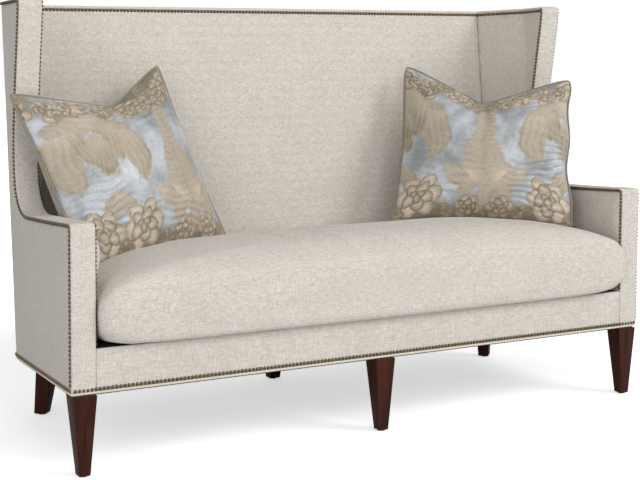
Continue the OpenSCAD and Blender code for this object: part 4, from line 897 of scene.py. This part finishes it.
def creases(u, v, chop, shift, slack):
    """How high the satin's creases stand at each place of a pillow, across and up in half widths from its middle."""
    # Fans from the dent and from the corners
    fan = np.arctan2(v - 0.95, u - chop)
    far = np.hypot(u - chop, v - 0.95)
    crease = 1.6 * np.sin(19 * fan + 3 * far + shift) * np.exp(-1.8 * far) * np.clip(far * 3, 0, 1)
    for cu, cv in ((1, 1), (-1, 1), (1, -1), (-1, -1)):
        near = np.hypot(u - cu, v - cv)
        crease += 1.2 * np.sin(13 * np.arctan2(v - cv, u - cu)) * np.exp(-2.4 * near) * np.clip(near * 3, 0, 1)
    # Short folds in rows where it is slack, and a fan in from the right edge
    slackness = np.clip(1.6 * np.sin(3.3 * u + 1.9 * v + 3.6 + 4 * shift) * np.sin(2.3 * v - 2.0 * u + 1.1) + 0.1, 0, 1)
    row = 74 * v + 2.6 * np.sin(5.2 * u + 3 * v) + 1.7 * np.sin(13 * u - 7 * v)
    crease += 0.62 * np.sin(row) * slackness
    side_fan = np.arctan2(v + 0.05, u - 1.25)
    crease += 1.5 * np.sin(30 * side_fan) * np.exp(-((u - 1) / 0.3) ** 2) * (slack / full_slack)
    return crease * crease_t * (1 - u ** 10) * (1 - v ** 10)


def pillow(name, corners, body, cad, welt_cad, shift, chop, depth, round_off, slack, plump):
    """A pillow from its corners: lower left, lower right, upper right, upper left, in millimetres. The pattern is
    moved on by shift of a repeat. The hand's dent is at chop across the top, in half widths, and depth metres deep;
    round_off is how round the ears are, slack how far the right edge waves, and plump how much fuller the back is
    low on the left."""
    c = [np.array(real(*p)) for p in corners]
    out = np.cross(c[2] - c[3] + c[1] - c[0], c[3] - c[0] + c[2] - c[1])
    out /= np.linalg.norm(out)
    up = (c[3] - c[0]) / np.linalg.norm(c[3] - c[0])
    over = (c[2] - c[3]) / np.linalg.norm(c[2] - c[3])
    bpy.ops.object.select_all(action="DESELECT")
    bpy.ops.mesh.primitive_grid_add(x_subdivisions=cells, y_subdivisions=cells, size=2)
    piece = bpy.context.object
    piece.name = name
    faces = piece.modifiers.new("two faces", "SOLIDIFY")
    faces.thickness = 1
    faces.offset = 0
    bpy.ops.object.modifier_apply(modifier=faces.name)
    flat = places(piece)
    u, v, side = np.sin(flat[:, 0] * np.pi / 2), np.sin(flat[:, 1] * np.pi / 2), np.sign(flat[:, 2])

    def sheet(u, v):
        ear = 1 - np.where(v > 0, round_off, 0.010) * np.abs(u * v) ** 9
        p = ((1 + u * ear * (1 - draw_in * (1 - v * v))) / 2)[:, None]
        q = ((1 + v * ear * (1 - draw_in * (1 - u * u))) / 2)[:, None]
        spot = (c[0] * (1 - p) + c[1] * p) * (1 - q) + (c[3] * (1 - p) + c[2] * p) * q
        slope = np.sqrt((u - chop) ** 2 + 0.0016) / np.where(u < chop, 1 + chop, 1 - chop)
        sink = depth * np.maximum(0, 1 - slope) ** 1.15 * ((1 + v) / 2) ** 3
        wave = slack * np.maximum(0, u) ** 6 * np.sin(7.4 * v + 0.4) * (1 - v ** 6)
        return spot - up * sink[:, None] + over * wave[:, None]

    full = seam_t + half_t * np.maximum(0, (1 - u * u) * (1 - v * v)) ** 0.6
    full *= 1 - 0.62 * np.exp(-((u - chop) / 0.13) ** 2) * ((1 + v) / 2) ** 5
    full *= np.where(side < 0, 1 + plump * np.clip(-u, 0, 1) ** 2 * (1 - v), 1)
    move(piece, sheet(u * face_share, v * face_share) + out * (side * full)[:, None])
    rim = np.nonzero(np.maximum(np.abs(u), np.abs(v)) > 0.999)[0]
    puff(piece, pressure=3.0, reach=0.010, pins=rim)
    for axis, values in (("across", u), ("up", v)):
        layer = piece.data.attributes.new(axis, "FLOAT", "POINT")
        layer.data.foreach_set("value", values)
    finer(piece)
    read = {}
    for axis in ("across", "up"):
        got = np.empty(len(piece.data.vertices))
        piece.data.attributes[axis].data.foreach_get("value", got)
        read[axis] = got
        piece.data.attributes.remove(piece.data.attributes[axis])
    u, v = read["across"], read["up"]
    move(piece, places(piece) + facings(piece) * creases(u, v, chop, shift, slack)[:, None])
    drawn = damask_figure(0.5 + u * 0.5 - shift, 0.5 + v * 0.5)
    for layer_name, values in (("figure", drawn[:3]), ("tints_and_top_shade", drawn[3:])):
        layer = piece.data.attributes.new(layer_name, "FLOAT_VECTOR", "POINT")
        layer.data.foreach_set("vector", np.stack(values, axis=1).ravel())
    alone(piece)
    bpy.ops.object.shade_smooth()
    piece.data.materials.append(damask)
    upholster(piece, cad, fill=0.6, body=body, slot="damask")
    # The cord follows the seam
    turn = np.linspace(0, 1, 61)[:-1]
    ring = np.sin((turn * 2 - 1) * np.pi / 2)
    one = np.ones_like(ring)
    seam = sheet(np.concatenate((ring, one, -ring, -one)), np.concatenate((-one, ring, one, -ring)))
    welt = cord(name + "_cord", [tuple(p) for p in seam], cord_r, satin_cord)
    upholster(welt, welt_cad, fill=1, body=body, slot="pillow_cord")


pillow("left_damask", ((-806, 210, 486), (-296, 410, 514), (-432, 605, 1020), (-955, 388, 950)),
       "pillow_left", "left_pillow", "left_pillow_welt",
       shift=0.27, chop=0.17, depth=0.088, round_off=0.030, slack=0.0, plump=0.75)
pillow("right_damask", ((300, 452, 523), (766, 132, 516), (886, 293, 972), (440, 614, 1014)),
       "pillow_right", "right_pillow", "right_pillow_welt",
       shift=0.0, chop=-0.04, depth=0.106, round_off=0.050, slack=0.005, plump=0.0)
